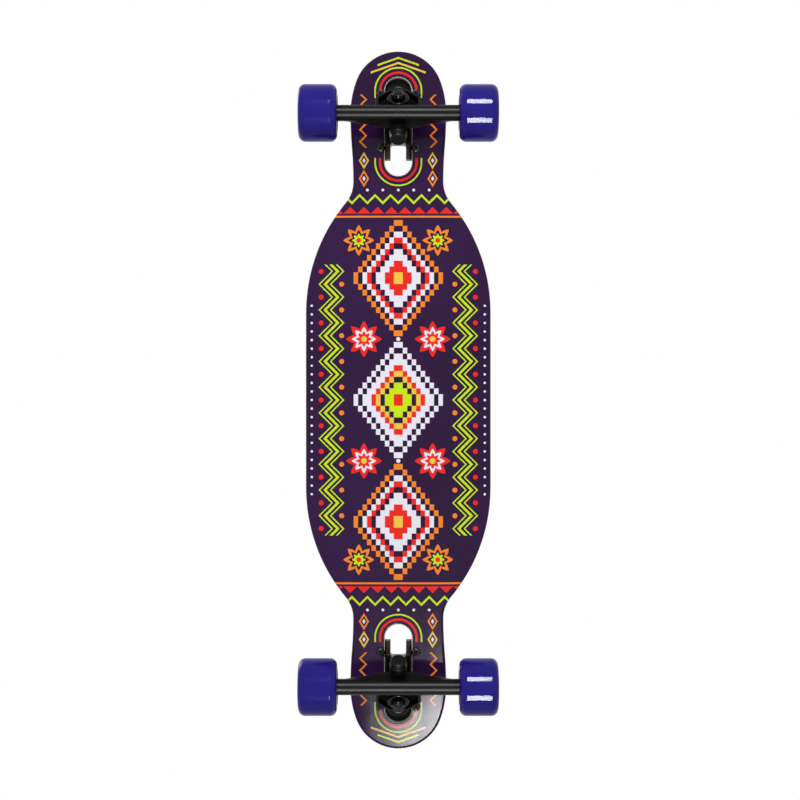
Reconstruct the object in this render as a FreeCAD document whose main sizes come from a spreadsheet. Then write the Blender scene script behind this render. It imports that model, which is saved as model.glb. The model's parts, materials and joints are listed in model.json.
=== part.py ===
import FreeCAD, Part
import math
import os
import types

import Sketcher

# A drop-through longboard: a concave deck with grip tape, two reverse-kingpin trucks
# and four wheels on ball bearings.
# X runs across the board, Y along it with the nose at +Y, and Z up. The origin is on the
# floor, midway between the wheels. Lengths are millimetres and angles are degrees.

SIZES = {
    # Deck outline and section
    "deck_length": 813,
    "deck_width": 216,
    "deck_thickness": 11,
    "deck_edge_round": 3,
    "shoulder_radius": 198,
    "neck_fillet": 38,
    "neck_width": 105.2,
    "nose_width": 112,
    "cheek_radius": 110,
    "flat_width": 66,
    "concave_radius": 500,
    "grip_thickness": 0.8,
    "grip_gap": 0.8,
    # Places along the board, measured from its tip
    "nose_widest_at": 72.5,
    "axle_at": 81.5,
    "neck_at": 152,
    # Slots that the trucks drop through, measured from the axle
    "slot_width": 31,
    "slot_inboard": 63.5,
    "slot_outboard": 50.5,
    "slot_edge_round": 2,
    # Height of the deck's top over the axle
    "truck_height": 67,
    # Steering: the bushing ring's centre, measured from the axle, and the axis that rises outboard
    "steer_angle": 45,
    "ring_out": 8,
    "ring_rise": 31,
    # Baseplate
    "flange_thickness": 5,
    "flange_width": 58,
    "flange_inboard": 44.5,
    "flange_outboard": 54,
    "flange_corner": 9,
    "notch_width": 18,
    "notch_end": 27.5,
    "tower_width": 28.6,
    "tower_outboard": 7,
    "seat_length": 27,
    "rib_depth": 9,
    "post_width": 17.6,
    "boss_diameter": 20.6,
    "boss_wall": 1.6,
    "boss_round": 4.5,
    "heel": 4.3,
    "key_width": 24,
    "key_outboard": 42.5,
    "key_drop": 1.5,
    "key_round": 4,
    "seat_wall": 11.5,
    # Mounting hardware
    "bolt_spacing_across": 41.3,
    "bolt_spacing_along": 63.5,
    "bolt_diameter": 4.8,
    "bolt_hole": 5.4,
    "bolt_fit": 0.05,
    "bolt_head_diameter": 9.4,
    "bolt_head_height": 2.8,
    "bolt_tail": 1.6,
    "mounting_nut_flats": 9.5,
    "mounting_nut_hex": 4,
    "mounting_nut_collar": 2,
    # Kingpin, washers and bushings
    "kingpin_diameter": 9.8,
    "kingpin_head_flats": 14.3,
    "kingpin_head_height": 6,
    "kingpin_tail": 0.7,
    "kingpin_nut_hex": 4.5,
    "kingpin_nut_collar": 1.8,
    "kingpin_fit": 0.2,
    "bushing_diameter": 24,
    "bushing_neck": 19,
    "bushing_height": 14,
    "bushing_lip": 4,
    "bushing_gap": 0.3,
    "board_washer_diameter": 25,
    "board_washer_thickness": 1.5,
    "road_washer_diameter": 25.5,
    "road_washer_thickness": 1.6,
    "road_washer_lip": 2.4,
    # Hanger
    "hanger_width": 150,
    "tube_diameter": 18.5,
    "ring_thickness": 10,
    "ring_hole": 15,
    "seat_depth": 2.5,
    "seat_clearance": 0.5,
    "yoke_width": 52,
    "yoke_shoulder": 7.5,
    "yoke_front_width": 22,
    "yoke_front": 22.5,
    "yoke_wall": 3.5,
    "yoke_wall_depth": 9,
    "yoke_round": 7,
    "yoke_pocket_depth": 6.5,
    "yoke_pocket_inner": 15,
    "yoke_pocket_outer": 21.5,
    "yoke_pocket_tip": 19,
    "yoke_pocket_back": 13,
    "yoke_pocket_front": 9,
    "yoke_pocket_round": 2,
    "wing_span": 126,
    "wing_middle": 52,
    "wing_depth": 9,
    "wing_tip_depth": 2.3,
    "wing_crown": 14,
    # Pivot
    "pivot_reach": 44,
    "pivot_mouth": 38.5,
    "pivot_diameter": 10,
    "pivot_root_diameter": 15,
    "pivot_shoulder_gap": 1.5,
    "pivot_fit": 0.15,
    "cup_wall": 1.9,
    "cup_floor": 1.6,
    # Axle and what is stacked on each end of it
    "axle_diameter": 7.9,
    "axle_fit": 0.05,
    "axle_tail": 1.2,
    "speed_washer_diameter": 12,
    "speed_washer_thickness": 1,
    "spacer_length": 10,
    "spacer_diameter": 10.4,
    "axle_nut_flats": 12.7,
    "axle_nut_hex": 5,
    "axle_nut_collar": 2,
    # Bearings
    "bearing_bore": 8,
    "bearing_diameter": 22,
    "bearing_width": 7,
    "ball_diameter": 3.97,
    "ball_pitch": 15,
    "race_depth": 0.4,
    "race_clearance": 0.06,
    "shield_thickness": 0.35,
    "shield_inset": 0.3,
    "shield_gap": 0.25,
    "shield_fit": 0.05,
    "cage_thickness": 1.2,
    "cage_rim": 0.5,
    # Wheels
    "wheel_diameter": 65,
    "wheel_width": 44,
    "wheel_inner_face": 69,
    "wheel_lip": 8,
    "wheel_rim_inner": 42,
    "wheel_rim_outer": 47,
    "core_diameter": 36,
    "core_lip": 1.5,
    "core_stop": 1.6,
    "core_window": 5,
    "core_window_depth": 4,
}
ACROSS = (1, 0, 0)
ALONG = (0, 1, 0)
UP = (0, 0, 1)
BALLS_PER_BEARING = 7
CORE_WINDOWS = 10
ENDS = {"front": 1, "rear": -1}
SIDES = {"right": 1, "left": -1}

doc = FreeCAD.newDocument("longboard")
sheet = doc.addObject("Spreadsheet::Sheet", "sizes")
nodes = {}


# Sizes that carry their formula
class Size:
    """A number together with the sheet formula that gives it."""

    def __init__(self, number, text):
        self.number = number
        self.text = text

    def __add__(self, other):
        other = as_size(other)
        return Size(self.number + other.number, f"({self.text} + {other.text})")

    def __sub__(self, other):
        other = as_size(other)
        return Size(self.number - other.number, f"({self.text} - {other.text})")

    def __mul__(self, other):
        other = as_size(other)
        return Size(self.number * other.number, f"({self.text} * {other.text})")

    def __truediv__(self, other):
        other = as_size(other)
        return Size(self.number / other.number, f"({self.text} / {other.text})")

    def __radd__(self, other):
        return as_size(other) + self

    def __rsub__(self, other):
        return as_size(other) - self

    def __rmul__(self, other):
        return as_size(other) * self

    def __neg__(self):
        return self * -1


def as_size(amount):
    if isinstance(amount, Size):
        return amount
    return Size(float(amount), f"({float(amount)})")


def root(amount):
    return Size(math.sqrt(amount.number), f"sqrt({amount.text})")


def sine(angle):
    return Size(math.sin(math.radians(angle.number)), f"sin({angle.text})")


def cosine(angle):
    return Size(math.cos(math.radians(angle.number)), f"cos({angle.text})")


def fill_sheet():
    """Write the driving sizes to the sheet and return them as one set of named sizes."""
    for row, (name, number) in enumerate(SIZES.items(), start=1):
        sheet.set(f"A{row}", name.replace("_", " "))
        sheet.set(f"B{row}", str(number))
        sheet.setAlias(f"B{row}", name)
    doc.recompute()
    named = {name: Size(float(sheet.get(name)), f"sizes.{name}") for name in SIZES}
    return types.SimpleNamespace(**named)


d = fill_sheet()


# Sketches and features
def tie(piece, prop, amount):
    piece.setExpression(prop, as_size(amount).text)


def new_body(label):
    body = doc.addObject("PartDesign::Body", label)
    body.Label = label
    return body


def origin_feature(body, role):
    return next(feature for feature in body.Origin.OriginFeatures if feature.Role == role)


def fix(sketch, rule, where, amount):
    amount = as_size(amount)
    index = sketch.addConstraint(Sketcher.Constraint(rule, *where, amount.number))
    sketch.setExpression(f"Constraints[{index}]", amount.text)


def arc_between(start, end, radius, bend):
    """The short arc from start to end that bends left (1) or right (-1)."""
    chord = end - start
    leftward = FreeCAD.Vector(-chord.y, chord.x, 0).normalize()
    rise = math.sqrt(max(radius ** 2 - chord.Length ** 2 / 4, 0))
    centre = (start + end) / 2 + leftward * rise * bend
    first, last = (start, end) if bend > 0 else (end, start)
    angles = [math.atan2(spot.y - centre.y, spot.x - centre.x) for spot in (first, last)]
    return Part.ArcOfCircle(Part.Circle(centre, FreeCAD.Vector(0, 0, 1), radius), *angles)


def add_loop(sketch, corners):
    """Add a closed loop. A corner (x, y) is reached by a line, (x, y, radius, bend) by an arc."""
    first = sketch.GeometryCount
    spots = [FreeCAD.Vector(as_size(c[0]).number, as_size(c[1]).number, 0) for c in corners]
    edges = []
    tails = []
    for index, corner in enumerate(corners):
        before, here = spots[index - 1], spots[index]
        if len(corner) == 2:
            edges.append(Part.LineSegment(before, here))
            tails.append((1, 2))
        else:
            edges.append(arc_between(before, here, as_size(corner[2]).number, corner[3]))
            tails.append((1, 2) if corner[3] > 0 else (2, 1))
    sketch.addGeometry(edges, False)
    joints = []
    for index in range(len(corners)):
        after = (index + 1) % len(corners)
        ends = (first + index, tails[index][1], first + after, tails[after][0])
        joints.append(Sketcher.Constraint("Coincident", *ends))
    sketch.addConstraint(joints)
    for index, corner in enumerate(corners):
        fix(sketch, "DistanceX", (first + index, tails[index][1]), corner[0])
        fix(sketch, "DistanceY", (first + index, tails[index][1]), corner[1])
        if len(corner) == 4:
            fix(sketch, "Radius", (first + index,), corner[2])


def add_circle(sketch, x, y, radius):
    centre = FreeCAD.Vector(as_size(x).number, as_size(y).number, 0)
    circle = Part.Circle(centre, FreeCAD.Vector(0, 0, 1), as_size(radius).number)
    index = sketch.addGeometry(circle, False)
    fix(sketch, "DistanceX", (index, 3), x)
    fix(sketch, "DistanceY", (index, 3), y)
    fix(sketch, "Radius", (index,), radius)


def draw(body, plane, loops=(), circles=(), lift=0, middle=(0, 0), lean=0):
    """A sketch on one of the body's origin planes, lifted along its normal, moved and leaned in it."""
    sketch = body.newObject("Sketcher::SketchObject", "outline")
    sketch.AttachmentSupport = [(origin_feature(body, plane), "")]
    sketch.MapMode = "FlatFace"
    sketch.AttachmentOffset = turn(UP, lean)
    for axis, amount in zip("xyz", (*middle, lift)):
        tie(sketch, f"AttachmentOffset.Base.{axis}", amount)
    tie(sketch, "AttachmentOffset.Rotation.Angle", lean)
    for loop in loops:
        add_loop(sketch, loop)
    for circle in circles:
        add_circle(sketch, *circle)
    return sketch


def pad(body, sketch, length, both=False):
    feature = body.newObject("PartDesign::Pad", "pad")
    feature.Profile = sketch
    feature.SideType = "Symmetric" if both else "One side"
    tie(feature, "Length", length)
    return feature


def pocket(body, sketch, width=None):
    """Cut on both sides of the sketch: right through, or to a width in all."""
    feature = body.newObject("PartDesign::Pocket", "pocket")
    feature.Profile = sketch
    feature.SideType = "Symmetric"
    if width is None:
        feature.Type = "ThroughAll"
    else:
        tie(feature, "Length", width)
    return feature


def revolve(body, sketch):
    """Turn a sketch right round its own upright axis."""
    feature = body.newObject("PartDesign::Revolution", "turning")
    feature.Profile = sketch
    feature.ReferenceAxis = (sketch, ["V_Axis"])
    feature.Angle = 360
    return feature


def drum(body, kind, radius, height, foot, aim=FreeCAD.Rotation()):
    """An added or cut cylinder that stands on foot, its axis turned from Z."""
    feature = body.newObject(f"PartDesign::{kind}Cylinder", "drum")
    tie(feature, "Radius", radius)
    tie(feature, "Height", height)
    spot = [as_size(amount) for amount in foot]
    feature.Placement = FreeCAD.Placement(FreeCAD.Vector(*[s.number for s in spot]), aim)
    for axis, amount in zip("xyz", spot):
        tie(feature, f"Placement.Base.{axis}", amount)
    return feature


def round_edges(body, base, wanted, radius):
    """Round the edges of base that the test picks out."""
    doc.recompute()
    names = [f"Edge{i}" for i, edge in enumerate(base.Shape.Edges, start=1) if wanted(edge)]
    feature = body.newObject("PartDesign::Fillet", "rounding")
    feature.Base = (base, names)
    tie(feature, "Radius", radius)
    doc.recompute()
    return feature


def upright(edge):
    start, end = edge.Vertexes[0].Point, edge.Vertexes[-1].Point
    return abs(start.x - end.x) + abs(start.y - end.y) < 1e-6 < abs(start.z - end.z)


def place(piece, frame):
    piece.Placement = frame
    return piece


def keep(piece):
    """Keep a finished piece as a node under its own label."""
    nodes[piece.Label] = piece


def group(label, pieces):
    """Keep several like pieces as the separate solids of one node."""
    bundle = doc.addObject("Part::Compound", label)
    bundle.Label = label
    bundle.Links = pieces
    keep(bundle)


def turned(label, corners, frame):
    """A piece of revolution: corners are (radius, height) about its own Z axis."""
    body = new_body(label)
    revolve(body, draw(body, "XZ_Plane", [corners]))
    return place(body, frame)


def hexagon_corner(flats):
    """How far a hexagon's corners lie from its middle."""
    return flats / math.sqrt(3)


def hexagon(flats, start=0):
    """A hexagon's corners, the first of them at the angle start."""
    corner = hexagon_corner(flats)
    angles = [math.radians(start + 60 * k) for k in range(6)]
    return [(corner * math.cos(a), corner * math.sin(a)) for a in angles]


def lock_nut(label, flats, hex_height, collar, bore, frame):
    """A hexagon nut with the round collar that holds its locking ring."""
    body = new_body(label)
    pad(body, draw(body, "XY_Plane", [hexagon(flats)], [(0, 0, bore / 2)]), hex_height)
    inner = bore / 2
    outer = flats / 2
    shoulder = collar / 2
    corners = [
        (inner, hex_height),
        (outer, hex_height),
        (outer, hex_height + shoulder),
        (outer - shoulder, hex_height + collar, shoulder, 1),
        (inner, hex_height + collar),
    ]
    revolve(body, draw(body, "XZ_Plane", [corners]))
    return place(body, frame)


# Frames of reference
def move(x=0, y=0, z=0):
    spot = FreeCAD.Vector(*[as_size(amount).number for amount in (x, y, z)])
    return FreeCAD.Placement(spot, FreeCAD.Rotation())


def facing(axis, angle):
    return FreeCAD.Rotation(FreeCAD.Vector(*axis), as_size(angle).number)


def turn(axis, angle):
    return FreeCAD.Placement(FreeCAD.Vector(), facing(axis, angle))


axle_y = d.deck_length / 2 - d.axle_at
axle_height = d.wheel_diameter / 2
deck_top = axle_height + d.truck_height


def truck_frame(end):
    """Origin at the middle of the axle, Y pointing outboard."""
    return move(y=axle_y * end, z=axle_height) * turn(UP, 90 - 90 * end)


def kingpin_frame(end):
    """Origin at the middle of the bushing ring, Y up the steering axis, Z along the kingpin."""
    return truck_frame(end) * move(y=d.ring_out, z=d.ring_rise) * turn(ACROSS, d.steer_angle)


def pivot_frame(end):
    """As the kingpin frame, with Z up the steering axis."""
    return kingpin_frame(end) * turn(ACROSS, -90)


def wheel_frame(end, side):
    """Origin at the middle of the axle, Z pointing out along it."""
    return move(y=axle_y * end, z=axle_height) * turn(ALONG, 90 * side)


# Levels along the kingpin, boardside positive, from the ring's centre
seat_floor = d.ring_thickness / 2 - d.seat_depth
bushing_start = seat_floor + d.bushing_gap
bushing_end = bushing_start + d.bushing_height
board_seat = bushing_end + d.board_washer_thickness
head_seat = board_seat + d.seat_wall
road_washer_end = bushing_end + d.road_washer_thickness
kingpin_end = road_washer_end + d.kingpin_nut_hex + d.kingpin_nut_collar + d.kingpin_tail

# The axle seen from the kingpin frame
axle_back = d.ring_out * cosine(d.steer_angle) + d.ring_rise * sine(d.steer_angle)
axle_drop = d.ring_rise * cosine(d.steer_angle) - d.ring_out * sine(d.steer_angle)

# Stations along the axle, from the middle of the truck
washer_start = d.hanger_width / 2
inner_bearing = washer_start + d.speed_washer_thickness
outer_bearing = inner_bearing + d.bearing_width + d.spacer_length
stack_end = outer_bearing + d.bearing_width + d.speed_washer_thickness
axle_end = stack_end + d.axle_nut_hex + d.axle_nut_collar + d.axle_tail
race_land_outer = d.ball_pitch / 2 + d.ball_diameter / 2 - d.race_depth
race_land_inner = d.ball_pitch / 2 - d.ball_diameter / 2 + d.race_depth


# Deck and grip tape
def quarter_outline(inset):
    """The deck's edge from the middle of one side to the tip, as corners and arcs, drawn in by inset."""
    half_length = d.deck_length / 2
    half_width = d.deck_width / 2 - inset
    half_neck = d.neck_width / 2 - inset
    half_nose = d.nose_width / 2 - inset
    shoulder = d.shoulder_radius - inset
    neck = d.neck_fillet + inset
    cheek = d.cheek_radius - inset
    neck_y = half_length - d.neck_at
    widest_y = half_length - d.nose_widest_at
    tip_y = half_length - inset
    # The shoulder's arc touches the neck's arc, whose end is parallel to the board
    reach = shoulder + neck
    aside = half_neck + neck - half_width + shoulder
    rise = root(reach * reach - aside * aside)
    share = shoulder / reach
    meet_x = half_width - shoulder + aside * share
    shoulder_y = neck_y - rise
    # Two equal arcs lead from the neck to the nose, out or in
    widening = half_nose - half_neck
    outward = 1 if widening.number > 0 else -1
    run = widest_y - neck_y
    sweep = (run * run + widening * widening) / (widening * outward * 4)
    # The nose's arc touches the cheek's from inside and ends square at the tip
    length = tip_y - widest_y
    nose = (half_nose * half_nose + length * length - half_nose * cheek * 2) / ((length - cheek) * 2)
    nose_y = tip_y - nose
    grow = nose / (cheek - nose)
    touch_x = (cheek - half_nose) * grow
    touch_y = nose_y + (nose_y - widest_y) * grow
    return [
        (half_width, shoulder_y),
        (meet_x, shoulder_y + rise * share, shoulder, 1),
        (half_neck, neck_y, neck, -1),
        ((half_neck + half_nose) / 2, (neck_y + widest_y) / 2, sweep, -outward),
        (half_nose, widest_y, sweep, outward),
        (touch_x, touch_y, cheek, 1),
        (as_size(0), tip_y, nose, 1),
    ]


def mirrored(path, across, along):
    """The same path on another quarter of the board, still run anticlockwise round it."""
    flipped = [(c[0] * across, c[1] * along) + tuple(c[2:]) for c in path]
    if across * along > 0:
        return flipped
    # Run backwards: each corner is then reached by the arc that used to leave it
    back = []
    for index in range(len(flipped) - 2, -1, -1):
        back.append(flipped[index][:2] + tuple(flipped[index + 1][2:]))
    return back


def board_outline(inset):
    path = quarter_outline(inset)
    start = path[0]
    outline = [(start[0], start[1])] + path[1:]
    outline += mirrored(path, -1, 1)
    outline += mirrored(path, -1, -1)
    outline += mirrored(path, 1, -1)
    return outline


def shaped_board(body, low, high, inset):
    """A sheet between two levels of the concave, cut to the board's outline."""
    fold = d.flat_width / 2
    edge = d.deck_width / 2 + d.deck_edge_round
    span = edge - fold

    def level(radius):
        return d.concave_radius - root(radius * radius - span * span)

    below = d.concave_radius - low
    above = d.concave_radius - high
    section = [
        (-edge, level(below)),
        (-fold, low, below, 1),
        (fold, low),
        (edge, level(below), below, 1),
        (edge, level(above)),
        (fold, high, above, -1),
        (-fold, high),
        (-edge, level(above), above, -1),
    ]
    pad(body, draw(body, "XZ_Plane", [section]), d.deck_length + edge, both=True)
    far_x = edge + d.deck_edge_round
    far_y = d.deck_length
    blank = [(-far_x, -far_y), (far_x, -far_y), (far_x, far_y), (-far_x, far_y)]
    return pocket(body, draw(body, "XY_Plane", [blank, board_outline(inset)]))


def slot(end):
    """The opening that a truck drops through, with round ends."""
    half = d.slot_width / 2
    inboard = (axle_y - d.slot_inboard + half) * end
    outboard = (axle_y + d.slot_outboard - half) * end
    return [
        (half, outboard),
        (0, outboard + half * end, half, end),
        (-half, outboard, half, end),
        (-half, inboard),
        (0, inboard - half * end, half, end),
        (half, inboard, half, end),
    ]


def bolt_spots():
    """Where the four bolts of a truck stand, from the axle's middle."""
    half_x = d.bolt_spacing_across / 2
    half_y = d.bolt_spacing_along / 2
    return [(half_x * sx, half_y * sy) for sx in (1, -1) for sy in (1, -1)]


def make_deck():
    body = new_body("deck")
    trimmed = shaped_board(body, -d.deck_thickness, as_size(0), as_size(0))
    fold = d.flat_width.number / 2

    def rim(edge):
        on_fold = all(abs(abs(v.Point.x) - fold) < 1e-6 for v in edge.Vertexes)
        along = abs(edge.Vertexes[0].Point.y - edge.Vertexes[-1].Point.y) > d.deck_width.number
        return not upright(edge) and not (on_fold and along)

    round_edges(body, trimmed, rim, d.deck_edge_round)
    holes = []
    for end in ENDS.values():
        holes += [(x, (axle_y + y) * end, d.bolt_hole / 2) for x, y in bolt_spots()]
    slotted = pocket(body, draw(body, "XY_Plane", [slot(end) for end in ENDS.values()]))

    def slot_rim(edge):
        spots = [vertex.Point for vertex in edge.Vertexes]
        beside = all(abs(p.x) < d.slot_width.number / 2 + 1e-6 for p in spots)
        within = all(abs(p.y) < (axle_y + d.slot_outboard).number + 1e-6 for p in spots)
        return beside and within and not upright(edge)

    round_edges(body, slotted, slot_rim, d.slot_edge_round)
    pocket(body, draw(body, "XY_Plane", (), holes))
    keep(place(body, move(z=deck_top)))


def make_grip_tape():
    """Grit sheet on the deck's top, cut clear of the baseplates and the slots."""
    body = new_body("grip_tape")
    shaped_board(body, as_size(0), d.grip_thickness, d.deck_edge_round)
    half = d.flange_width / 2 + d.grip_gap
    clearings = []
    for end in ENDS.values():
        outboard = (axle_y + d.flange_outboard + d.grip_gap) * end
        inboard = (axle_y - d.slot_inboard) * end
        clearings.append([(half, inboard), (half, outboard), (-half, outboard), (-half, inboard)])
    pocket(body, draw(body, "XY_Plane", clearings))
    keep(place(body, move(z=deck_top)))


# Trucks: what is bolted to the deck
def on_truck(back, down):
    """A point of the truck's side view, from its distances down the steering axis and to the road."""
    sin, cos = sine(d.steer_angle), cosine(d.steer_angle)
    along = d.ring_out - back * cos + down * sin
    height = d.ring_rise - back * sin - down * cos
    return along, height


def make_baseplate(name, end):
    """The cast plate: a flange on the deck, a tower with the bushing seat, and a post for the pivot."""
    body = new_body(name)
    half = d.flange_width / 2
    flange = [
        (-half, -d.flange_inboard),
        (half, -d.flange_inboard),
        (half, d.flange_outboard),
        (-half, d.flange_outboard),
    ]
    plate = pad(body, draw(body, "XY_Plane", [flange], lift=d.truck_height), d.flange_thickness)
    round_edges(body, plate, upright, d.flange_corner)
    key_half = d.key_width / 2
    key = [
        (key_half, 0),
        (key_half, d.key_outboard - key_half),
        (0, d.key_outboard, key_half, 1),
        (-key_half, d.key_outboard - key_half, key_half, 1),
        (-key_half, 0),
    ]
    key_low = d.truck_height - d.deck_thickness - d.key_drop
    key_height = d.deck_thickness + d.key_drop + d.flange_thickness / 2
    in_slot = pad(body, draw(body, "XY_Plane", [key], lift=key_low), key_height)

    def key_rim(edge):
        return all(abs(v.Point.z - key_low.number) < 1e-6 and v.Point.y > 1e-6 for v in edge.Vertexes)

    round_edges(body, in_slot, key_rim, d.key_round)
    seat_half = d.seat_length / 2
    top = d.truck_height + d.flange_thickness / 2
    boss_radius = d.boss_diameter / 2
    heel = d.pivot_reach + d.heel
    seat_high = on_truck(-seat_half, -board_seat)
    seat_low = on_truck(seat_half, -board_seat)
    foot = on_truck(heel, -boss_radius)
    tower = [
        (d.tower_outboard, top),
        seat_high,
        seat_low,
        (foot[0], seat_low[1] - d.rib_depth),
        (-d.flange_inboard, d.truck_height - d.rib_depth),
        (-d.flange_inboard, top),
    ]
    pad(body, draw(body, "YZ_Plane", [tower[::-1]]), d.tower_width, both=True)
    # Cuts that leave the casting run on to these lines beyond it
    above = d.truck_height + d.flange_thickness * 2
    beyond = -d.flange_inboard * 2
    gap = [
        (-d.notch_end, above),
        foot,
        (beyond, foot[1]),
        (beyond, above),
    ]
    pocket(body, draw(body, "YZ_Plane", [gap[::-1]]), d.notch_width)
    post = [
        (-d.notch_end, d.truck_height),
        foot,
        on_truck(heel, 0),
        on_truck(d.pivot_mouth, 0),
        on_truck(d.pivot_mouth, -boss_radius),
        seat_low,
    ]
    pad(body, draw(body, "YZ_Plane", [post]), d.post_width, both=True)
    along_kingpin = facing(ACROSS, d.steer_angle)
    along_axis = facing(ACROSS, d.steer_angle - 90)
    cup_end = d.pivot_reach + d.pivot_diameter / 2 + d.pivot_fit + d.cup_floor
    boss_end = cup_end + d.boss_wall
    boss = [
        (0, -boss_end),
        (boss_radius - d.boss_round, -boss_end),
        (boss_radius, d.boss_round - boss_end, d.boss_round, 1),
        (boss_radius, -d.pivot_mouth),
        (0, -d.pivot_mouth),
    ]
    ring_middle = (d.ring_out, d.ring_rise)
    leaning = draw(body, "YZ_Plane", [boss], middle=ring_middle, lean=d.steer_angle - 90)
    revolve(body, leaning)
    cup_outer = d.pivot_diameter / 2 + d.pivot_fit + d.cup_wall
    drum(body, "Subtractive", cup_outer, d.pivot_reach, (0, *on_truck(cup_end, 0)), along_axis)
    # A pocket that holds the kingpin's head by its flats and is open into the notch
    head_room = hexagon_corner(d.kingpin_head_flats) + d.kingpin_fit
    head_top = head_seat + d.kingpin_head_height * 2
    recess = [
        on_truck(-head_room, -head_seat),
        (-d.kingpin_head_height, above),
        (-d.notch_end - d.kingpin_head_height, above),
        on_truck(head_room, -head_top),
        on_truck(head_room, -head_seat),
    ]
    pocket(body, draw(body, "YZ_Plane", [recess]), d.kingpin_head_flats + d.kingpin_fit * 2)
    shank = d.kingpin_diameter / 2 + d.kingpin_fit
    drum(body, "Subtractive", shank, head_seat, (0, *on_truck(0, 0)), along_kingpin)
    holes = [(x, y, d.bolt_hole / 2) for x, y in bolt_spots()]
    pocket(body, draw(body, "XY_Plane", (), holes))
    keep(place(body, truck_frame(end)))


def make_pivot_cup(name, end):
    """The soft cup that the hanger's pivot turns in."""
    inner = d.pivot_diameter / 2 + d.pivot_fit
    outer = inner + d.cup_wall
    mouth = -d.pivot_mouth
    centre = -d.pivot_reach
    floor = centre - inner - d.cup_floor
    corners = [
        (0, floor),
        (outer, floor),
        (outer, mouth),
        (inner, mouth),
        (inner, centre),
        (0, centre - inner, inner, -1),
    ]
    keep(turned(name, corners, pivot_frame(end)))


def make_kingpin(name, end):
    """A hexagon bolt whose head has two flats facing the sides of its pocket."""
    body = new_body(name)
    drum(body, "Additive", d.kingpin_diameter / 2, kingpin_end + head_seat, (0, 0, -kingpin_end))
    head = hexagon(d.kingpin_head_flats, start=30)
    pad(body, draw(body, "XY_Plane", [head], lift=head_seat), d.kingpin_head_height)
    keep(place(body, kingpin_frame(end)))


def make_washers(end_name, end):
    """A flat washer on the seat, and a cupped one under the nut."""
    hole = d.kingpin_diameter / 2 + d.kingpin_fit
    flat = [
        (hole, bushing_end),
        (d.board_washer_diameter / 2, bushing_end),
        (d.board_washer_diameter / 2, board_seat),
        (hole, board_seat),
    ]
    keep(turned(f"{end_name}_boardside_washer", flat, kingpin_frame(end)))
    rim = d.road_washer_diameter / 2
    cup = [
        (hole, -road_washer_end),
        (rim - d.road_washer_thickness, -road_washer_end),
        (rim, d.road_washer_thickness - road_washer_end, d.road_washer_thickness, 1),
        (rim, d.road_washer_lip - bushing_end),
        (rim - d.road_washer_thickness, d.road_washer_lip - bushing_end),
        (rim - d.road_washer_thickness, -bushing_end),
        (hole, -bushing_end),
    ]
    keep(turned(f"{end_name}_roadside_washer", cup, kingpin_frame(end)))


def make_bushings(end_name, end):
    """A barrel on the board's side of the ring, and a cone on the road's side."""
    hole = d.kingpin_diameter / 2 + d.kingpin_fit
    wide = d.bushing_diameter / 2
    barrel = [(hole, bushing_start), (wide, bushing_start), (wide, bushing_end), (hole, bushing_end)]
    keep(turned(f"{end_name}_boardside_bushing", barrel, kingpin_frame(end)))
    cone = [
        (hole, -bushing_end),
        (d.bushing_neck / 2, -bushing_end),
        (wide, -bushing_start - d.bushing_lip),
        (wide, -bushing_start),
        (hole, -bushing_start),
    ]
    keep(turned(f"{end_name}_roadside_bushing", cone, kingpin_frame(end)))


def make_kingpin_nut(name, end):
    frame = kingpin_frame(end) * move(z=-road_washer_end) * turn(ACROSS, 180)
    sizes = (d.kingpin_head_flats, d.kingpin_nut_hex, d.kingpin_nut_collar)
    keep(lock_nut(name, *sizes, d.kingpin_diameter + d.kingpin_fit, frame))


def make_mounting_hardware(end_name, end):
    """Four bolts with their heads on the flange, and four nuts under the deck."""
    shank = d.bolt_diameter / 2
    head = d.bolt_head_diameter / 2
    dome = d.bolt_head_height / 2
    nut_height = d.mounting_nut_hex + d.mounting_nut_collar
    length = d.flange_thickness + d.deck_thickness + nut_height + d.bolt_tail
    bolt = [
        (0, -length),
        (shank, -length),
        (shank, 0),
        (head, 0),
        (head, dome),
        (head - dome, d.bolt_head_height, dome, 1),
        (0, d.bolt_head_height),
    ]
    bolts = []
    nuts = []
    nut_sizes = (d.mounting_nut_flats, d.mounting_nut_hex, d.mounting_nut_collar)
    for number, (x, y) in enumerate(bolt_spots(), start=1):
        on_top = truck_frame(end) * move(x, y, d.truck_height + d.flange_thickness)
        bolts.append(turned(f"{end_name}_bolt_{number}", bolt, on_top))
        under = truck_frame(end) * move(x, y, d.truck_height - d.deck_thickness) * turn(ACROSS, 180)
        bore = d.bolt_diameter + d.bolt_fit
        nuts.append(lock_nut(f"{end_name}_nut_{number}", *nut_sizes, bore, under))
    group(f"{end_name}_mounting_bolts", bolts)
    group(f"{end_name}_mounting_nuts", nuts)


# Trucks: what steers
def wing_section(drop):
    """A cut across the hanger: the axle tube below, with a web that rises to a rounded crown."""
    tube = d.tube_diameter / 2
    crown = d.wing_crown / 2
    return [
        (crown - axle_back, -drop),
        (-axle_back, crown - drop, crown, 1),
        (-crown - axle_back, -drop, crown, 1),
        (-tube - axle_back, -axle_drop),
        (-axle_back, -axle_drop - tube, tube, 1),
        (tube - axle_back, -axle_drop, tube, 1),
    ]


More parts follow.
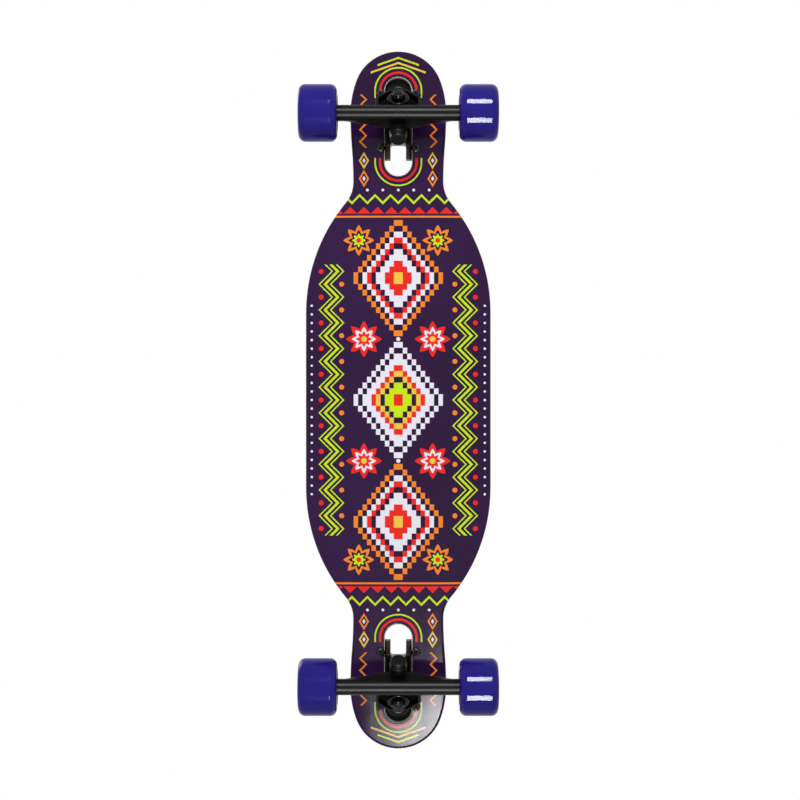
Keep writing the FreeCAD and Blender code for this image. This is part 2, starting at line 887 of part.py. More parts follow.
def make_hanger(name, end):
    """The cast hanger: axle tube with wings, walled yoke with the bushing ring, and the pivot."""
    body = new_body(name)
    wide = d.yoke_width / 2
    front = d.yoke_front_width / 2
    yoke = [
        (-wide, -axle_back),
        (wide, -axle_back),
        (wide, d.yoke_shoulder),
        (front, d.yoke_front),
        (-front, d.yoke_front),
        (-wide, d.yoke_shoulder),
    ]
    underside = -d.ring_thickness / 2
    wall_foot = underside - d.yoke_wall_depth
    block = pad(body, draw(body, "XY_Plane", [yoke], lift=wall_foot), d.ring_thickness + d.yoke_wall_depth)

    def front_corner(edge):
        return upright(edge) and edge.Vertexes[0].Point.y > 0

    round_edges(body, block, front_corner, d.yoke_round)
    # The block is hollowed from the road's side, which leaves the ring's plate inside a wall
    run = wide - front
    rise = d.yoke_front - d.yoke_shoulder
    slant = root(run * run + rise * rise)
    inner_wide = wide - d.yoke_wall
    inner_shoulder = d.yoke_shoulder - d.yoke_wall * (slant - rise) / run
    inner_front = front - d.yoke_wall * (slant - run) / rise
    inner_end = d.yoke_front - d.yoke_wall
    hollow = [
        (-inner_wide, -axle_back),
        (inner_wide, -axle_back),
        (inner_wide, inner_shoulder),
        (inner_front, inner_end),
        (-inner_front, inner_end),
        (-inner_wide, inner_shoulder),
    ]
    pocket(body, draw(body, "XY_Plane", [hollow], lift=wall_foot), d.yoke_wall_depth * 2)
    middle = axle_drop - d.wing_depth
    tip = axle_drop - d.wing_tip_depth
    stations = [
        (-d.wing_span / 2, tip),
        (-d.wing_middle / 2, middle),
        (d.wing_middle / 2, middle),
        (d.wing_span / 2, tip),
    ]
    cuts = [draw(body, "YZ_Plane", [wing_section(drop)], lift=x) for x, drop in stations]
    wings = body.newObject("PartDesign::AdditiveLoft", "wings")
    wings.Profile = cuts[0]
    wings.Sections = cuts[1:]
    wings.Ruled = True
    sideways = facing(ALONG, 90)
    axle_start = (-d.hanger_width / 2, -axle_back, -axle_drop)
    drum(body, "Additive", d.tube_diameter / 2, d.hanger_width, axle_start, sideways)
    ball = d.pivot_diameter / 2
    root_radius = d.pivot_root_diameter / 2
    stem = [
        (0, -d.pivot_reach - ball),
        (ball, -d.pivot_reach, ball, 1),
        (ball, -d.pivot_mouth),
        (root_radius, root_radius - d.pivot_mouth - ball + d.pivot_shoulder_gap),
        (root_radius, -axle_back),
        (0, -axle_back),
    ]
    revolve(body, draw(body, "XY_Plane", [stem]))
    drum(body, "Subtractive", (d.axle_diameter + d.axle_fit) / 2, d.hanger_width, axle_start, sideways)
    drum(body, "Subtractive", d.ring_hole / 2, d.ring_thickness, (0, 0, -d.ring_thickness / 2))
    seat = d.bushing_diameter / 2 + d.seat_clearance
    drum(body, "Subtractive", seat, d.bushing_height, (0, 0, seat_floor))
    drum(body, "Subtractive", seat, d.bushing_height, (0, 0, -seat_floor - d.bushing_height))
    # A three-cornered pocket lightens the yoke on each side of the ring
    near, far = -d.yoke_pocket_back, d.yoke_pocket_front
    inner, outer, tip_x = d.yoke_pocket_inner, d.yoke_pocket_outer, d.yoke_pocket_tip
    corners = [[(inner * s, near), (outer * s, near), (tip_x * s, far)] for s in SIDES.values()]
    pocketed = pocket(body, draw(body, "XY_Plane", corners, lift=underside), d.yoke_pocket_depth * 2)
    spots = [FreeCAD.Vector(x.number, y.number, 0) for loop in corners for x, y in loop]

    def pocket_corner(edge):
        foot = edge.Vertexes[0].Point
        level = FreeCAD.Vector(foot.x, foot.y, 0)
        return upright(edge) and any((level - spot).Length < 1e-6 for spot in spots)

    round_edges(body, pocketed, pocket_corner, d.yoke_pocket_round)
    keep(place(body, kingpin_frame(end)))


def make_axle(name, end):
    radius = d.axle_diameter / 2
    chamfer = d.axle_tail / 2
    rod = [
        (0, -axle_end),
        (radius - chamfer, -axle_end),
        (radius, chamfer - axle_end),
        (radius, axle_end - chamfer),
        (radius - chamfer, axle_end),
        (0, axle_end),
    ]
    keep(turned(name, rod, wheel_frame(end, 1)))


def tube_ring(inner, outer, start, length):
    return [(inner, start), (outer, start), (outer, start + length), (inner, start + length)]


def race_half_width():
    """Half the width of the ball groove where it breaks the ring's land."""
    groove = d.ball_diameter / 2 + d.race_clearance
    depth = race_land_outer - d.ball_pitch / 2
    return root(groove * groove - depth * depth)


def inner_ring(start):
    groove = d.ball_diameter / 2 + d.race_clearance
    middle = start + d.bearing_width / 2
    return [
        (d.bearing_bore / 2, start),
        (race_land_inner, start),
        (race_land_inner, middle - race_half_width()),
        (race_land_inner, middle + race_half_width(), groove, -1),
        (race_land_inner, start + d.bearing_width),
        (d.bearing_bore / 2, start + d.bearing_width),
    ]


def outer_ring(start):
    groove = d.ball_diameter / 2 + d.race_clearance
    middle = start + d.bearing_width / 2
    return [
        (race_land_outer, start),
        (d.bearing_diameter / 2, start),
        (d.bearing_diameter / 2, start + d.bearing_width),
        (race_land_outer, start + d.bearing_width),
        (race_land_outer, middle + race_half_width()),
        (race_land_outer, middle - race_half_width(), groove, -1),
    ]


def make_axle_stack(end_name, end):
    """What is clamped on the axle at both ends: washers, inner rings, spacers and nuts."""
    bore = d.bearing_bore / 2
    washers = []
    rings = []
    spacers = []
    nuts = []
    for side_name, side in SIDES.items():
        frame = wheel_frame(end, side)
        prefix = f"{end_name}_{side_name}"
        for number, start in enumerate((washer_start, stack_end - d.speed_washer_thickness), start=1):
            ring = tube_ring(bore, d.speed_washer_diameter / 2, start, d.speed_washer_thickness)
            washers.append(turned(f"{prefix}_washer_{number}", ring, frame))
        for number, start in enumerate((inner_bearing, outer_bearing), start=1):
            rings.append(turned(f"{prefix}_inner_ring_{number}", inner_ring(start), frame))
        tube = tube_ring(bore, d.spacer_diameter / 2, inner_bearing + d.bearing_width, d.spacer_length)
        spacers.append(turned(f"{prefix}_spacer", tube, frame))
        nut_sizes = (d.axle_nut_flats, d.axle_nut_hex, d.axle_nut_collar, d.bearing_bore)
        nuts.append(lock_nut(f"{prefix}_axle_nut", *nut_sizes, frame * move(z=stack_end)))
    group(f"{end_name}_speed_washers", washers)
    group(f"{end_name}_bearing_inner_rings", rings)
    group(f"{end_name}_bearing_spacers", spacers)
    group(f"{end_name}_axle_nuts", nuts)


# Wheels
def make_wheel(name, frame):
    """The cast urethane: flat tread, rounded lips and dished sides."""
    outer = d.wheel_diameter / 2
    core = d.core_diameter / 2
    near = d.wheel_inner_face
    far = near + d.wheel_width
    tyre = [
        (core, inner_bearing - d.core_lip),
        (d.wheel_rim_inner / 2, near),
        (outer - d.wheel_lip, near),
        (outer, near + d.wheel_lip, d.wheel_lip, 1),
        (outer, far - d.wheel_lip),
        (outer - d.wheel_lip, far, d.wheel_lip, 1),
        (d.wheel_rim_outer / 2, far),
        (core, outer_bearing + d.bearing_width + d.core_lip),
    ]
    keep(turned(name, tyre, frame))


def make_core(name, frame):
    """The stiff hub that holds the bearings, with a ring of windows in its outer face."""
    body = new_body(name)
    seat = d.bearing_diameter / 2
    stop = seat - d.core_stop
    near = inner_bearing - d.core_lip
    far = outer_bearing + d.bearing_width + d.core_lip
    hub = [
        (seat, near),
        (d.core_diameter / 2, near),
        (d.core_diameter / 2, far),
        (seat, far),
        (seat, outer_bearing),
        (stop, outer_bearing),
        (stop, inner_bearing + d.bearing_width),
        (seat, inner_bearing + d.bearing_width),
    ]
    revolve(body, draw(body, "XZ_Plane", [hub]))
    spot = (seat + d.core_diameter / 2) / 2
    foot = (spot, 0, far - d.core_window_depth)
    window = drum(body, "Subtractive", d.core_window / 2, d.core_window_depth, foot)
    repeat(body, window, CORE_WINDOWS)
    keep(place(body, frame))


def repeat(body, feature, count):
    """Copy a cut round the body's Z axis."""
    doc.recompute()
    ring = body.newObject("PartDesign::PolarPattern", "ring")
    ring.Originals = [feature]
    ring.Axis = (origin_feature(body, "Z_Axis"), [""])
    ring.Angle = 360
    ring.Occurrences = count
    body.Tip = ring


def make_cage(label, start, frame):
    """The ring that keeps the balls apart, with a round pocket for each."""
    body = new_body(label)
    middle = start + d.bearing_width / 2
    hole = d.ball_diameter / 2 + d.race_clearance
    half = hole + d.cage_rim
    inner = d.ball_pitch / 2 - d.cage_thickness / 2
    band = tube_ring(inner, inner + d.cage_thickness, middle - half, half * 2)
    revolve(body, draw(body, "XZ_Plane", [band]))
    cut = drum(body, "Subtractive", hole, d.ball_pitch, (0, 0, middle), facing(ALONG, 90))
    repeat(body, cut, BALLS_PER_BEARING)
    return place(body, frame)


def make_ball(label, start, angle, frame):
    ball = doc.addObject("Part::Sphere", label)
    tie(ball, "Radius", d.ball_diameter / 2)
    middle = start + d.bearing_width / 2
    return place(ball, frame * turn(UP, angle) * move(d.ball_pitch / 2, 0, middle))


def make_wheel_set(prefix, frame):
    """One wheel with its core and the parts of both bearings that turn."""
    make_wheel(f"{prefix}_wheel", frame)
    make_core(f"{prefix}_wheel_core", frame)
    rings = []
    shields = []
    cages = []
    balls = []
    shield_inner = race_land_inner + d.shield_gap
    shield_outer = race_land_outer - d.shield_fit
    for number, start in enumerate((inner_bearing, outer_bearing), start=1):
        rings.append(turned(f"{prefix}_outer_ring_{number}", outer_ring(start), frame))
        near = start + d.shield_inset
        far = start + d.bearing_width - d.shield_inset - d.shield_thickness
        for letter, level in zip("ab", (near, far)):
            plate = tube_ring(shield_inner, shield_outer, level, d.shield_thickness)
            shields.append(turned(f"{prefix}_shield_{number}{letter}", plate, frame))
        cages.append(make_cage(f"{prefix}_cage_{number}", start, frame))
        for count in range(BALLS_PER_BEARING):
            angle = 360 / BALLS_PER_BEARING * count
            balls.append(make_ball(f"{prefix}_ball_{number}_{count + 1}", start, angle, frame))
    group(f"{prefix}_bearing_outer_rings", rings)
    group(f"{prefix}_bearing_shields", shields)
    group(f"{prefix}_bearing_cages", cages)
    group(f"{prefix}_bearing_balls", balls)


def make_truck(end_name, end):
    make_baseplate(f"{end_name}_baseplate", end)
    make_pivot_cup(f"{end_name}_pivot_cup", end)
    make_kingpin(f"{end_name}_kingpin", end)
    make_washers(end_name, end)
    make_bushings(end_name, end)
    make_kingpin_nut(f"{end_name}_kingpin_nut", end)
    make_mounting_hardware(end_name, end)
    make_hanger(f"{end_name}_hanger", end)
    make_axle(f"{end_name}_axle", end)
    make_axle_stack(end_name, end)


def write_parts():
    """Check every object and every shape, then write one file per node."""
    doc.recompute()
    for piece in doc.Objects:
        if "Invalid" in piece.State or "Error" in piece.State:
            raise RuntimeError(f"{piece.Label} failed: {piece.State}")
    for label, piece in nodes.items():
        if piece.Shape.isNull() or not piece.Shape.isValid() or not piece.Shape.Solids:
            raise RuntimeError(f"{label} has no valid solid")
    os.makedirs("parts", exist_ok=True)
    for label, piece in nodes.items():
        piece.Shape.exportStep(f"parts/{label}.step")
        print(f"{label}: {len(piece.Shape.Solids)} solids, {piece.Shape.Volume:.1f} mm3")


make_deck()
make_grip_tape()
for end_label, end_sign in ENDS.items():
    make_truck(end_label, end_sign)
    for side_label, side_sign in SIDES.items():
        make_wheel_set(f"{end_label}_{side_label}", wheel_frame(end_sign, side_sign))
write_parts()
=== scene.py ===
# %% [markdown]
# A drop-through longboard, dressed for the camera.
# The solids come from CAD: deck, trucks, bearings and wheels stand where they belong.
# This lesson paints them, softens the castings, makes the rubber and small hardware, and
# lights the board for a camera that looks straight up at its underside.

# %% Load the solids
import json
import math

import bmesh
import bpy
from mathutils import Matrix, Vector

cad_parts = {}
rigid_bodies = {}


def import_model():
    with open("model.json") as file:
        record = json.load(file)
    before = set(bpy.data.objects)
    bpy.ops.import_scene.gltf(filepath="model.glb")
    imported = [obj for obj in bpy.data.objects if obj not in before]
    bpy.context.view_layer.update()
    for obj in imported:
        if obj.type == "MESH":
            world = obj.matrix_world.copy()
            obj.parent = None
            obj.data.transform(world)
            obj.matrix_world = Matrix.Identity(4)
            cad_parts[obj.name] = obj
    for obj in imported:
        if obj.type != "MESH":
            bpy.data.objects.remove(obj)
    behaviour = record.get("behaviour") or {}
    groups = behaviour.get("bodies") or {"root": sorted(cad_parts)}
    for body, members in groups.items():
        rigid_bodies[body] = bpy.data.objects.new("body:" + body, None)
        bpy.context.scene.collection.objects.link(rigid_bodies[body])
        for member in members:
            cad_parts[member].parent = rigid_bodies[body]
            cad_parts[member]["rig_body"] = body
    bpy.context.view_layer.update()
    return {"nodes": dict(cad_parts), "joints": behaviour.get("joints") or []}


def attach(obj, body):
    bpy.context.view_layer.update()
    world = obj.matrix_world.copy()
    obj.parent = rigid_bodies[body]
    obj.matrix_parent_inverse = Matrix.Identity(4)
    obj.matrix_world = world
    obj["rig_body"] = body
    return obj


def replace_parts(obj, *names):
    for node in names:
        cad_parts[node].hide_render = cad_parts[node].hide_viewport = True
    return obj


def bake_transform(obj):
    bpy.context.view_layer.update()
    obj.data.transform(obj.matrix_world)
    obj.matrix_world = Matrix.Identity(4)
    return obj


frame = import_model()
print("nodes loaded:", len(frame["nodes"]))

# %% [markdown]
# Paint first. A colour is easiest to read off as the 0 to 255 numbers of a screen, but a
# shader works with amounts of light, so each colour is converted once, here.

# %% Colours by their screen numbers
def paint(red, green, blue):
    """A screen colour as the amounts of light that a shader works with."""
    levels = [level / 255 for level in (red, green, blue)]
    light = [c / 12.92 if c <= 0.04045 else ((c + 0.055) / 1.055) ** 2.4 for c in levels]
    return (*light, 1.0)


PLUM = paint(40, 15, 52)
VIOLET = paint(49, 22, 66)
LIME = paint(198, 226, 18)
RED = paint(232, 40, 30)
ORANGE = paint(240, 132, 38)
YELLOW = paint(238, 194, 74)
PALE = paint(228, 226, 238)
print("inks mixed: 7")

# %% [markdown]
# Blender's materials are graphs of nodes. A few small helpers keep the graphs short. Textures
# read Object coordinates, so that a pattern stays put on its piece when the piece moves.

# %% Helpers for node graphs
def add_node(tree, kind, **settings):
    node = tree.nodes.new("ShaderNode" + kind)
    for name, setting in settings.items():
        setattr(node, name, setting)
    return node


def new_finish(name, colour, roughness, specular=0.5, metallic=0.0):
    """A material with a plain start: the material, its graph, and the shader that ends it."""
    finish = bpy.data.materials.new(name)
    finish.use_nodes = True
    shader = finish.node_tree.nodes["Principled BSDF"]
    shader.inputs["Base Color"].default_value = colour
    shader.inputs["Roughness"].default_value = roughness
    shader.inputs["Specular IOR Level"].default_value = specular
    shader.inputs["Metallic"].default_value = metallic
    return finish, finish.node_tree, shader


print("graph helpers ready")

# %% [markdown]
# No real surface has one even tone. Cloudy noise, stretched to a range, mixes two paints, varies
# the gloss or raises the surface a little.

# %% Helpers for texture
def grain(tree, scale, detail=3.0, stretch=(1, 1, 1)):
    """Cloudy noise on Object coordinates, with scale counted in lumps per metre."""
    spot = add_node(tree, "TexCoord")
    mapping = add_node(tree, "Mapping")
    mapping.inputs["Scale"].default_value = stretch
    noise = add_node(tree, "TexNoise")
    noise.inputs["Scale"].default_value = scale
    noise.inputs["Detail"].default_value = detail
    tree.links.new(spot.outputs["Object"], mapping.inputs["Vector"])
    tree.links.new(mapping.outputs["Vector"], noise.inputs["Vector"])
    return noise.outputs["Fac"]


NOISE_LOW = 0.3
NOISE_HIGH = 0.7


def spread(tree, amount, low, high):
    """Stretch a noise's middle values to run from low to high."""
    node = add_node(tree, "MapRange")
    tree.links.new(amount, node.inputs["Value"])
    node.inputs["From Min"].default_value = NOISE_LOW
    node.inputs["From Max"].default_value = NOISE_HIGH
    node.inputs["To Min"].default_value = low
    node.inputs["To Max"].default_value = high
    return node.outputs["Result"]


UNDER_SOCKET = 6
OVER_SOCKET = 7
COLOUR_OUTPUT = 2


def mix_paint(tree, share, under, over):
    """Two colours, each a fixed one or a socket, blended by share."""
    node = add_node(tree, "Mix", data_type="RGBA")
    tree.links.new(share, node.inputs[0])
    for place, colour in ((UNDER_SOCKET, under), (OVER_SOCKET, over)):
        if isinstance(colour, tuple):
            node.inputs[place].default_value = colour
        else:
            tree.links.new(colour, node.inputs[place])
    return node.outputs[COLOUR_OUTPUT]


def roughen(tree, shader, height, strength, depth):
    """Raise a surface by a height pattern, depth in metres."""
    bump = add_node(tree, "Bump")
    bump.inputs["Strength"].default_value = strength
    bump.inputs["Distance"].default_value = depth
    tree.links.new(height, bump.inputs["Height"])
    tree.links.new(bump.outputs["Normal"], shader.inputs["Normal"])


print("texture helpers ready")

# %% [markdown]
# The deck's underside is printed. A picture file would be the usual way, but a design of
# straight-edged motifs can be worked out from a point's place on the board, which stays sharp
# at any size. A Measure is a number that changes over the surface. Adding or comparing two of
# them adds a Math node, so a motif reads like ordinary arithmetic. Edges are blurred over about
# a third of a millimetre, as ink spreads.

# %% Arithmetic over a surface
SOFT = 0.35


class Measure:
    """A number that changes over a surface, carried by a node's output."""

    def __init__(self, tree, socket):
        self.tree = tree
        self.socket = socket

    def work(self, operation, *amounts, clamp=False):
        node = add_node(self.tree, "Math", operation=operation, use_clamp=clamp)
        for place, amount in enumerate((self, *amounts)):
            if isinstance(amount, Measure):
                self.tree.links.new(amount.socket, node.inputs[place])
            else:
                node.inputs[place].default_value = amount
        return Measure(self.tree, node.outputs[0])

    def __add__(self, other):
        return self.work("ADD", other)

    def __sub__(self, other):
        return self.work("SUBTRACT", other)

    def __mul__(self, other):
        return self.work("MULTIPLY", other)

    def __abs__(self):
        return self.work("ABSOLUTE")

    def fold(self, width):
        """Up and down again, like a concertina whose folds have that width."""
        return self.work("PINGPONG", width)

    def below(self, edge, soft=SOFT):
        """1 where the number is under edge and 0 over it, with a soft border."""
        if isinstance(edge, Measure):
            return (self - edge).below(0, soft)
        return self.work("MULTIPLY_ADD", -1 / soft, edge / soft + 0.5, clamp=True)

    def above(self, edge, soft=SOFT):
        return self.work("MULTIPLY_ADD", 1 / soft, 0.5 - edge / soft, clamp=True)

    def between(self, low, high, soft=SOFT):
        return self.above(low, soft) * self.below(high, soft)


def distance(aside, beyond):
    return (aside * aside + beyond * beyond).work("SQRT")


print("arithmetic ready")

# %% [markdown]
# Every motif is drawn on two measures in millimetres: how far a point lies to either side of
# the middle line, and how far towards either tip. Both ignore the sign, so that one motif
# appears on all four quarters of the board, as in a folded and cut paper pattern.

# %% The printed ground
deck_finish, deck_tree, deck_shader = new_finish("printed_maple_finish", PLUM, 0.1, 0.12)
deck_spot = add_node(deck_tree, "TexCoord")
deck_place = add_node(deck_tree, "SeparateXYZ")
deck_tree.links.new(deck_spot.outputs["Object"], deck_place.inputs["Vector"])
across = abs(Measure(deck_tree, deck_place.outputs["X"])) * 1000
along = abs(Measure(deck_tree, deck_place.outputs["Y"])) * 1000
height = Measure(deck_tree, deck_place.outputs["Z"]) * 1000


class Print:
    """The printed colours so far. Each ink is laid over the last."""

    def __init__(self, ground):
        self.colour = ground

    def lay(self, ink, shape):
        self.colour = mix_paint(deck_tree, shape.socket, self.colour, ink)


cloud = spread(deck_tree, grain(deck_tree, 6, 2), 0, 1)
design = Print(mix_paint(deck_tree, cloud, PLUM, VIOLET))
print("ground laid")

# %% [markdown]
# Three stepped lozenges stand in a row along the board, as on a woven rug. Folding the length
# repeats one lozenge, and counting whole cells both ways turns its slanted sides into stairs.
# A ring of the lozenge is then every cell with the same count.

# %% Row of lozenges
REPEAT = 142
CELL_ACROSS = 5.2
CELL_ALONG = 6.76
beat = along.fold(REPEAT / 2)
stairs = (across * (1 / CELL_ACROSS)).work("FLOOR") + (beat * (1 / CELL_ALONG)).work("FLOOR")
middle = along.below(REPEAT / 2)
outer = along.between(REPEAT / 2, REPEAT * 1.5)
MIDDLE_RINGS = ((9, PALE), (8, PLUM), (7, PALE), (5, RED),
                (4, YELLOW), (3, PLUM), (2, LIME), (0, RED))
OUTER_RINGS = ((9, ORANGE), (8, PLUM), (7, PALE), (6, RED),
               (5, PLUM), (4, PALE), (2, RED), (0, YELLOW))
for part, rings in ((middle, MIDDLE_RINGS), (outer, OUTER_RINGS)):
    for count, ink in rings:
        design.lay(ink, stairs.below(count + 0.5, 0.01) * part)
design.lay(PALE, distance(across, along - REPEAT / 2).below(2.4))
print("lozenges laid: 3")

# %% [markdown]
# Zigzags run down both sides. Folding the length again gives the ups and downs, and the
# distance from that folded line gives one stroke, or two beside it. Dots sit in the bays.

# %% Side columns
COLUMN_AT = 70.5
COLUMN_END = 158
BAY = 15
BAY_DOT = 2.9
bays = along.fold(BAY)
zigzag = across - COLUMN_AT - bays
column = along.below(COLUMN_END)
design.lay(LIME, abs(zigzag).below(1.9) * column)
design.lay(LIME, abs(abs(zigzag) - 6.6).below(1) * column)
design.lay(RED, distance(across - 90, bays).below(BAY_DOT) * column)
design.lay(ORANGE, distance(across - 66, bays - BAY).below(BAY_DOT) * column)
design.lay(PALE, distance(across - 101, along.fold(BAY / 3)).below(1.4) * along.below(112))
print("columns laid")

# %% [markdown]
# Stars fill the gaps between the lozenges. Round a star's middle, the angle is folded so that
# every point is the same wedge, and the reach shrinks from the tip of the wedge to its root.

# %% Stars
POINTS = 8
BITE = 0.42
NESTED = (1, 0.68, 0.45)
EYE = 0.16


def star(x, y, reach):
    aside, beyond = across - x, along - y
    wedge = beyond.work("ARCTAN2", aside).fold(math.pi / POINTS) * (POINTS / math.pi)
    return distance(aside, beyond).below(wedge * (-reach * BITE) + reach)


for x, y, reach, inks in ((40, 71, 21, (RED, PALE, RED, YELLOW)),
                          (46, 186, 18, (ORANGE, PLUM, LIME, RED))):
    for share, ink in zip(NESTED, inks):
        design.lay(ink, star(x, y, reach * share))
    design.lay(inks[-1], distance(across - x, along - y).below(reach * EYE))
print("stars laid: 8")

# %% [markdown]
# Bands run across the board where it narrows: a line, a row of teeth, a zigzag and a row of
# beads, all from the folded width.

# %% Bands across the shoulders
TEETH_AT = 217
WAVE_AT = 229.5
BEADS_AT = 244.6
STROKE = 1.6
waves = across.fold(9)
design.lay(ORANGE, along.between(212.5, 214.7))
design.lay(RED, (along - TEETH_AT).below(across.fold(8)) * along.above(TEETH_AT))
design.lay(LIME, abs(along - WAVE_AT - waves).below(STROKE) * along.between(226, 242))
design.lay(PALE, distance(waves, along - BEADS_AT).below(STROKE) * across.below(49))
print("bands laid")

# %% [markdown]
# Lines follow both ends of the truck slot. The distance to a slot with round ends is the
# distance to the straight run between its two end circles. Small diamonds, a zigzag and two
# shallow peaks take up the rest of the necks and tips.

# %% Necks, slots and tips
SLOT_AT = 318.5
SLOT_HALF_RUN = 41.5
SLOT_RADIUS = 15.5
TIP_FROM = 377
past_run = (abs(along - SLOT_AT) - SLOT_HALF_RUN).work("MAXIMUM", 0)
off_slot = distance(across, past_run) - SLOT_RADIUS
beside_truck = along.between(282, 352)
slot_ends = beside_truck * -1 + 1
design.lay(RED, off_slot.between(4.4, 7.2) * slot_ends)
design.lay(LIME, off_slot.between(10.6, 12.4) * slot_ends)
for x, y, ink in ((40, 258, ORANGE), (40, 279, YELLOW)):
    diamond = abs(across - x) + abs(along - y) * 0.6
    design.lay(ink, diamond.below(6))
    design.lay(PLUM, diamond.below(3.8))
    design.lay(PALE, diamond.below(1.9))
design.lay(ORANGE, abs(across - 37.5 - along.fold(7)).below(1.4) * along.between(294, 356))
peak = along + across * 0.35
tip = along.above(TIP_FROM)
design.lay(YELLOW, peak.between(391.5, 393.8) * across.below(32) * tip)
design.lay(LIME, peak.between(397.5, 399.6) * across.below(24) * tip)
print("necks and tips laid")

# %% [markdown]
# Under the print the deck is seven maple plies, and its rounded edge shows them as stripes.
# The board is dished, so the stripes follow the rise of its sides. The print wraps a little
# way round the edge and stops short at the slots, where the rim is bare maple painted pale:
# a painted highlight for light catching the rim in its shade.
# Everything lies under one coat of lacquer.

# %% Maple plies and lacquer
DECK_UNDER = 0.0885
DECK_THICK = 11
PLY = DECK_THICK / 7
DISH_FROM = 33
DISH_RISE = 0.001
dish = (across - DISH_FROM).work("MAXIMUM", 0)
level = height - DECK_UNDER * 1000 - dish * dish * DISH_RISE
odd_ply = (level * (1 / PLY)).work("FLOOR").work("PINGPONG", 1)
maple_tone = mix_paint(deck_tree, grain(deck_tree, 90, 4, (6, 1, 6)), paint(222, 190, 144),
                       paint(240, 216, 178))
ply_tone = mix_paint(deck_tree, (odd_ply * 0.4).socket, maple_tone, paint(186, 144, 98))
glue = (level.fold(PLY)).below(0.12, 0.1)
edge_tone = mix_paint(deck_tree, (glue * 0.6).socket, ply_tone, paint(92, 62, 40))
# Bare maple round each slot, painted much paler: a painted highlight standing in for light on the
# shaded rim.
painted_light_rim = off_slot.below(3) * 0.75
edge_tone = mix_paint(deck_tree, painted_light_rim.socket, edge_tone, paint(250, 243, 224))
facing_up = Measure(deck_tree, add_node(deck_tree, "SeparateXYZ").outputs["Z"])
deck_tree.links.new(deck_spot.outputs["Normal"], facing_up.socket.node.inputs["Vector"])
printed = facing_up.below(-0.28, 0.06) * off_slot.above(1, 0.3)
deck_tree.links.new(mix_paint(deck_tree, printed.socket, edge_tone, design.colour),
                    deck_shader.inputs["Base Color"])
deck_tree.links.new(spread(deck_tree, grain(deck_tree, 140, 4), 0.09, 0.12),
                    deck_shader.inputs["Roughness"])
roughen(deck_tree, deck_shader, grain(deck_tree, 160, 2, (1, 0.1, 1)), 0.02, 0.0002)
print("deck nodes:", len(deck_tree.nodes))

# %% [markdown]
# Grip tape is a sheet of coarse black grit. Fine noise makes the grains, and a second noise
# paints a few of them pale grey, as painted glints.

# %% Grip tape
grip_finish, tree, shader = new_finish("grip_tape_finish", paint(26, 26, 27), 0.9, 0.3)
grit = grain(tree, 2600, 2)
# A few grains painted pale grey: painted glints, not lighter grit.
painted_glint = add_node(tree, "MapRange")
tree.links.new(grain(tree, 3400, 1), painted_glint.inputs["Value"])
painted_glint.inputs["From Min"].default_value = 0.66
painted_glint.inputs["From Max"].default_value = 0.74
tone = mix_paint(tree, spread(tree, grit, 0, 1), paint(15, 15, 16), paint(36, 36, 38))
tree.links.new(mix_paint(tree, painted_glint.outputs["Result"], tone, paint(120, 120, 124)),
               shader.inputs["Base Color"])
roughen(tree, shader, grit, 0.9, 0.0005)
print("grip ready")

# %% [markdown]
# The trucks are aluminium castings under black powder coat. Powder melts into a skin with the
# faint waviness of orange peel, a little glossier on the high spots.

# %% Black powder coat
coat_finish, tree, shader = new_finish("black_powder_coat", paint(9, 8, 9), 0.34, 0.1)
peel = grain(tree, 900, 2)
tree.links.new(mix_paint(tree, spread(tree, grain(tree, 60, 3), 0, 1), paint(7, 6, 7),
                         paint(12, 11, 12)), shader.inputs["Base Color"])
tree.links.new(spread(tree, peel, 0.3, 0.37), shader.inputs["Roughness"])
roughen(tree, shader, peel, 0.1, 0.0003)
print("powder coat ready")

# %% [markdown]
# The wheels are poured urethane in blue violet: smooth and glossy from the mould, with the
# tread turned true on a lathe, which leaves very fine rings.

# %% Wheel urethane
wheel_finish, tree, shader = new_finish("violet_urethane_finish", paint(37, 27, 124), 0.05, 0.08)
tree.links.new(mix_paint(tree, spread(tree, grain(tree, 40, 3), 0, 1), paint(35, 25, 119),
                         paint(39, 29, 129)), shader.inputs["Base Color"])
tree.links.new(spread(tree, grain(tree, 220, 4), 0.04, 0.06), shader.inputs["Roughness"])
lathe = add_node(tree, "TexWave", bands_direction="X")
lathe.inputs["Scale"].default_value = 500
lathe_spot = add_node(tree, "TexCoord")
tree.links.new(lathe_spot.outputs["Object"], lathe.inputs["Vector"])
roughen(tree, shader, lathe.outputs["Fac"], 0.0012, 0.0001)
print("urethane ready")

# %% [markdown]
# Cores are stiff moulded plastic, bushings and cups are matt rubbery urethane. The steel comes
# in four states: black oxide on the bolts, dark plating on the small nuts, bright zinc on the
# axle, polished in the bearings.

# %% Plastic, rubber and steel
def mottled(name, dark, light, rough, specular, metallic=0.0, lumps=300, bump=0.05):
    """A finish whose tone and gloss vary a little over the surface."""
    finish, graph, end = new_finish(name, light, sum(rough) / 2, specular, metallic)
    noise = grain(graph, lumps, 3)
    graph.links.new(mix_paint(graph, spread(graph, noise, 0, 1), dark, light),
                    end.inputs["Base Color"])
    graph.links.new(spread(graph, grain(graph, lumps * 2, 3), *rough), end.inputs["Roughness"])
    roughen(graph, end, noise, bump, 0.0002)
    return finish


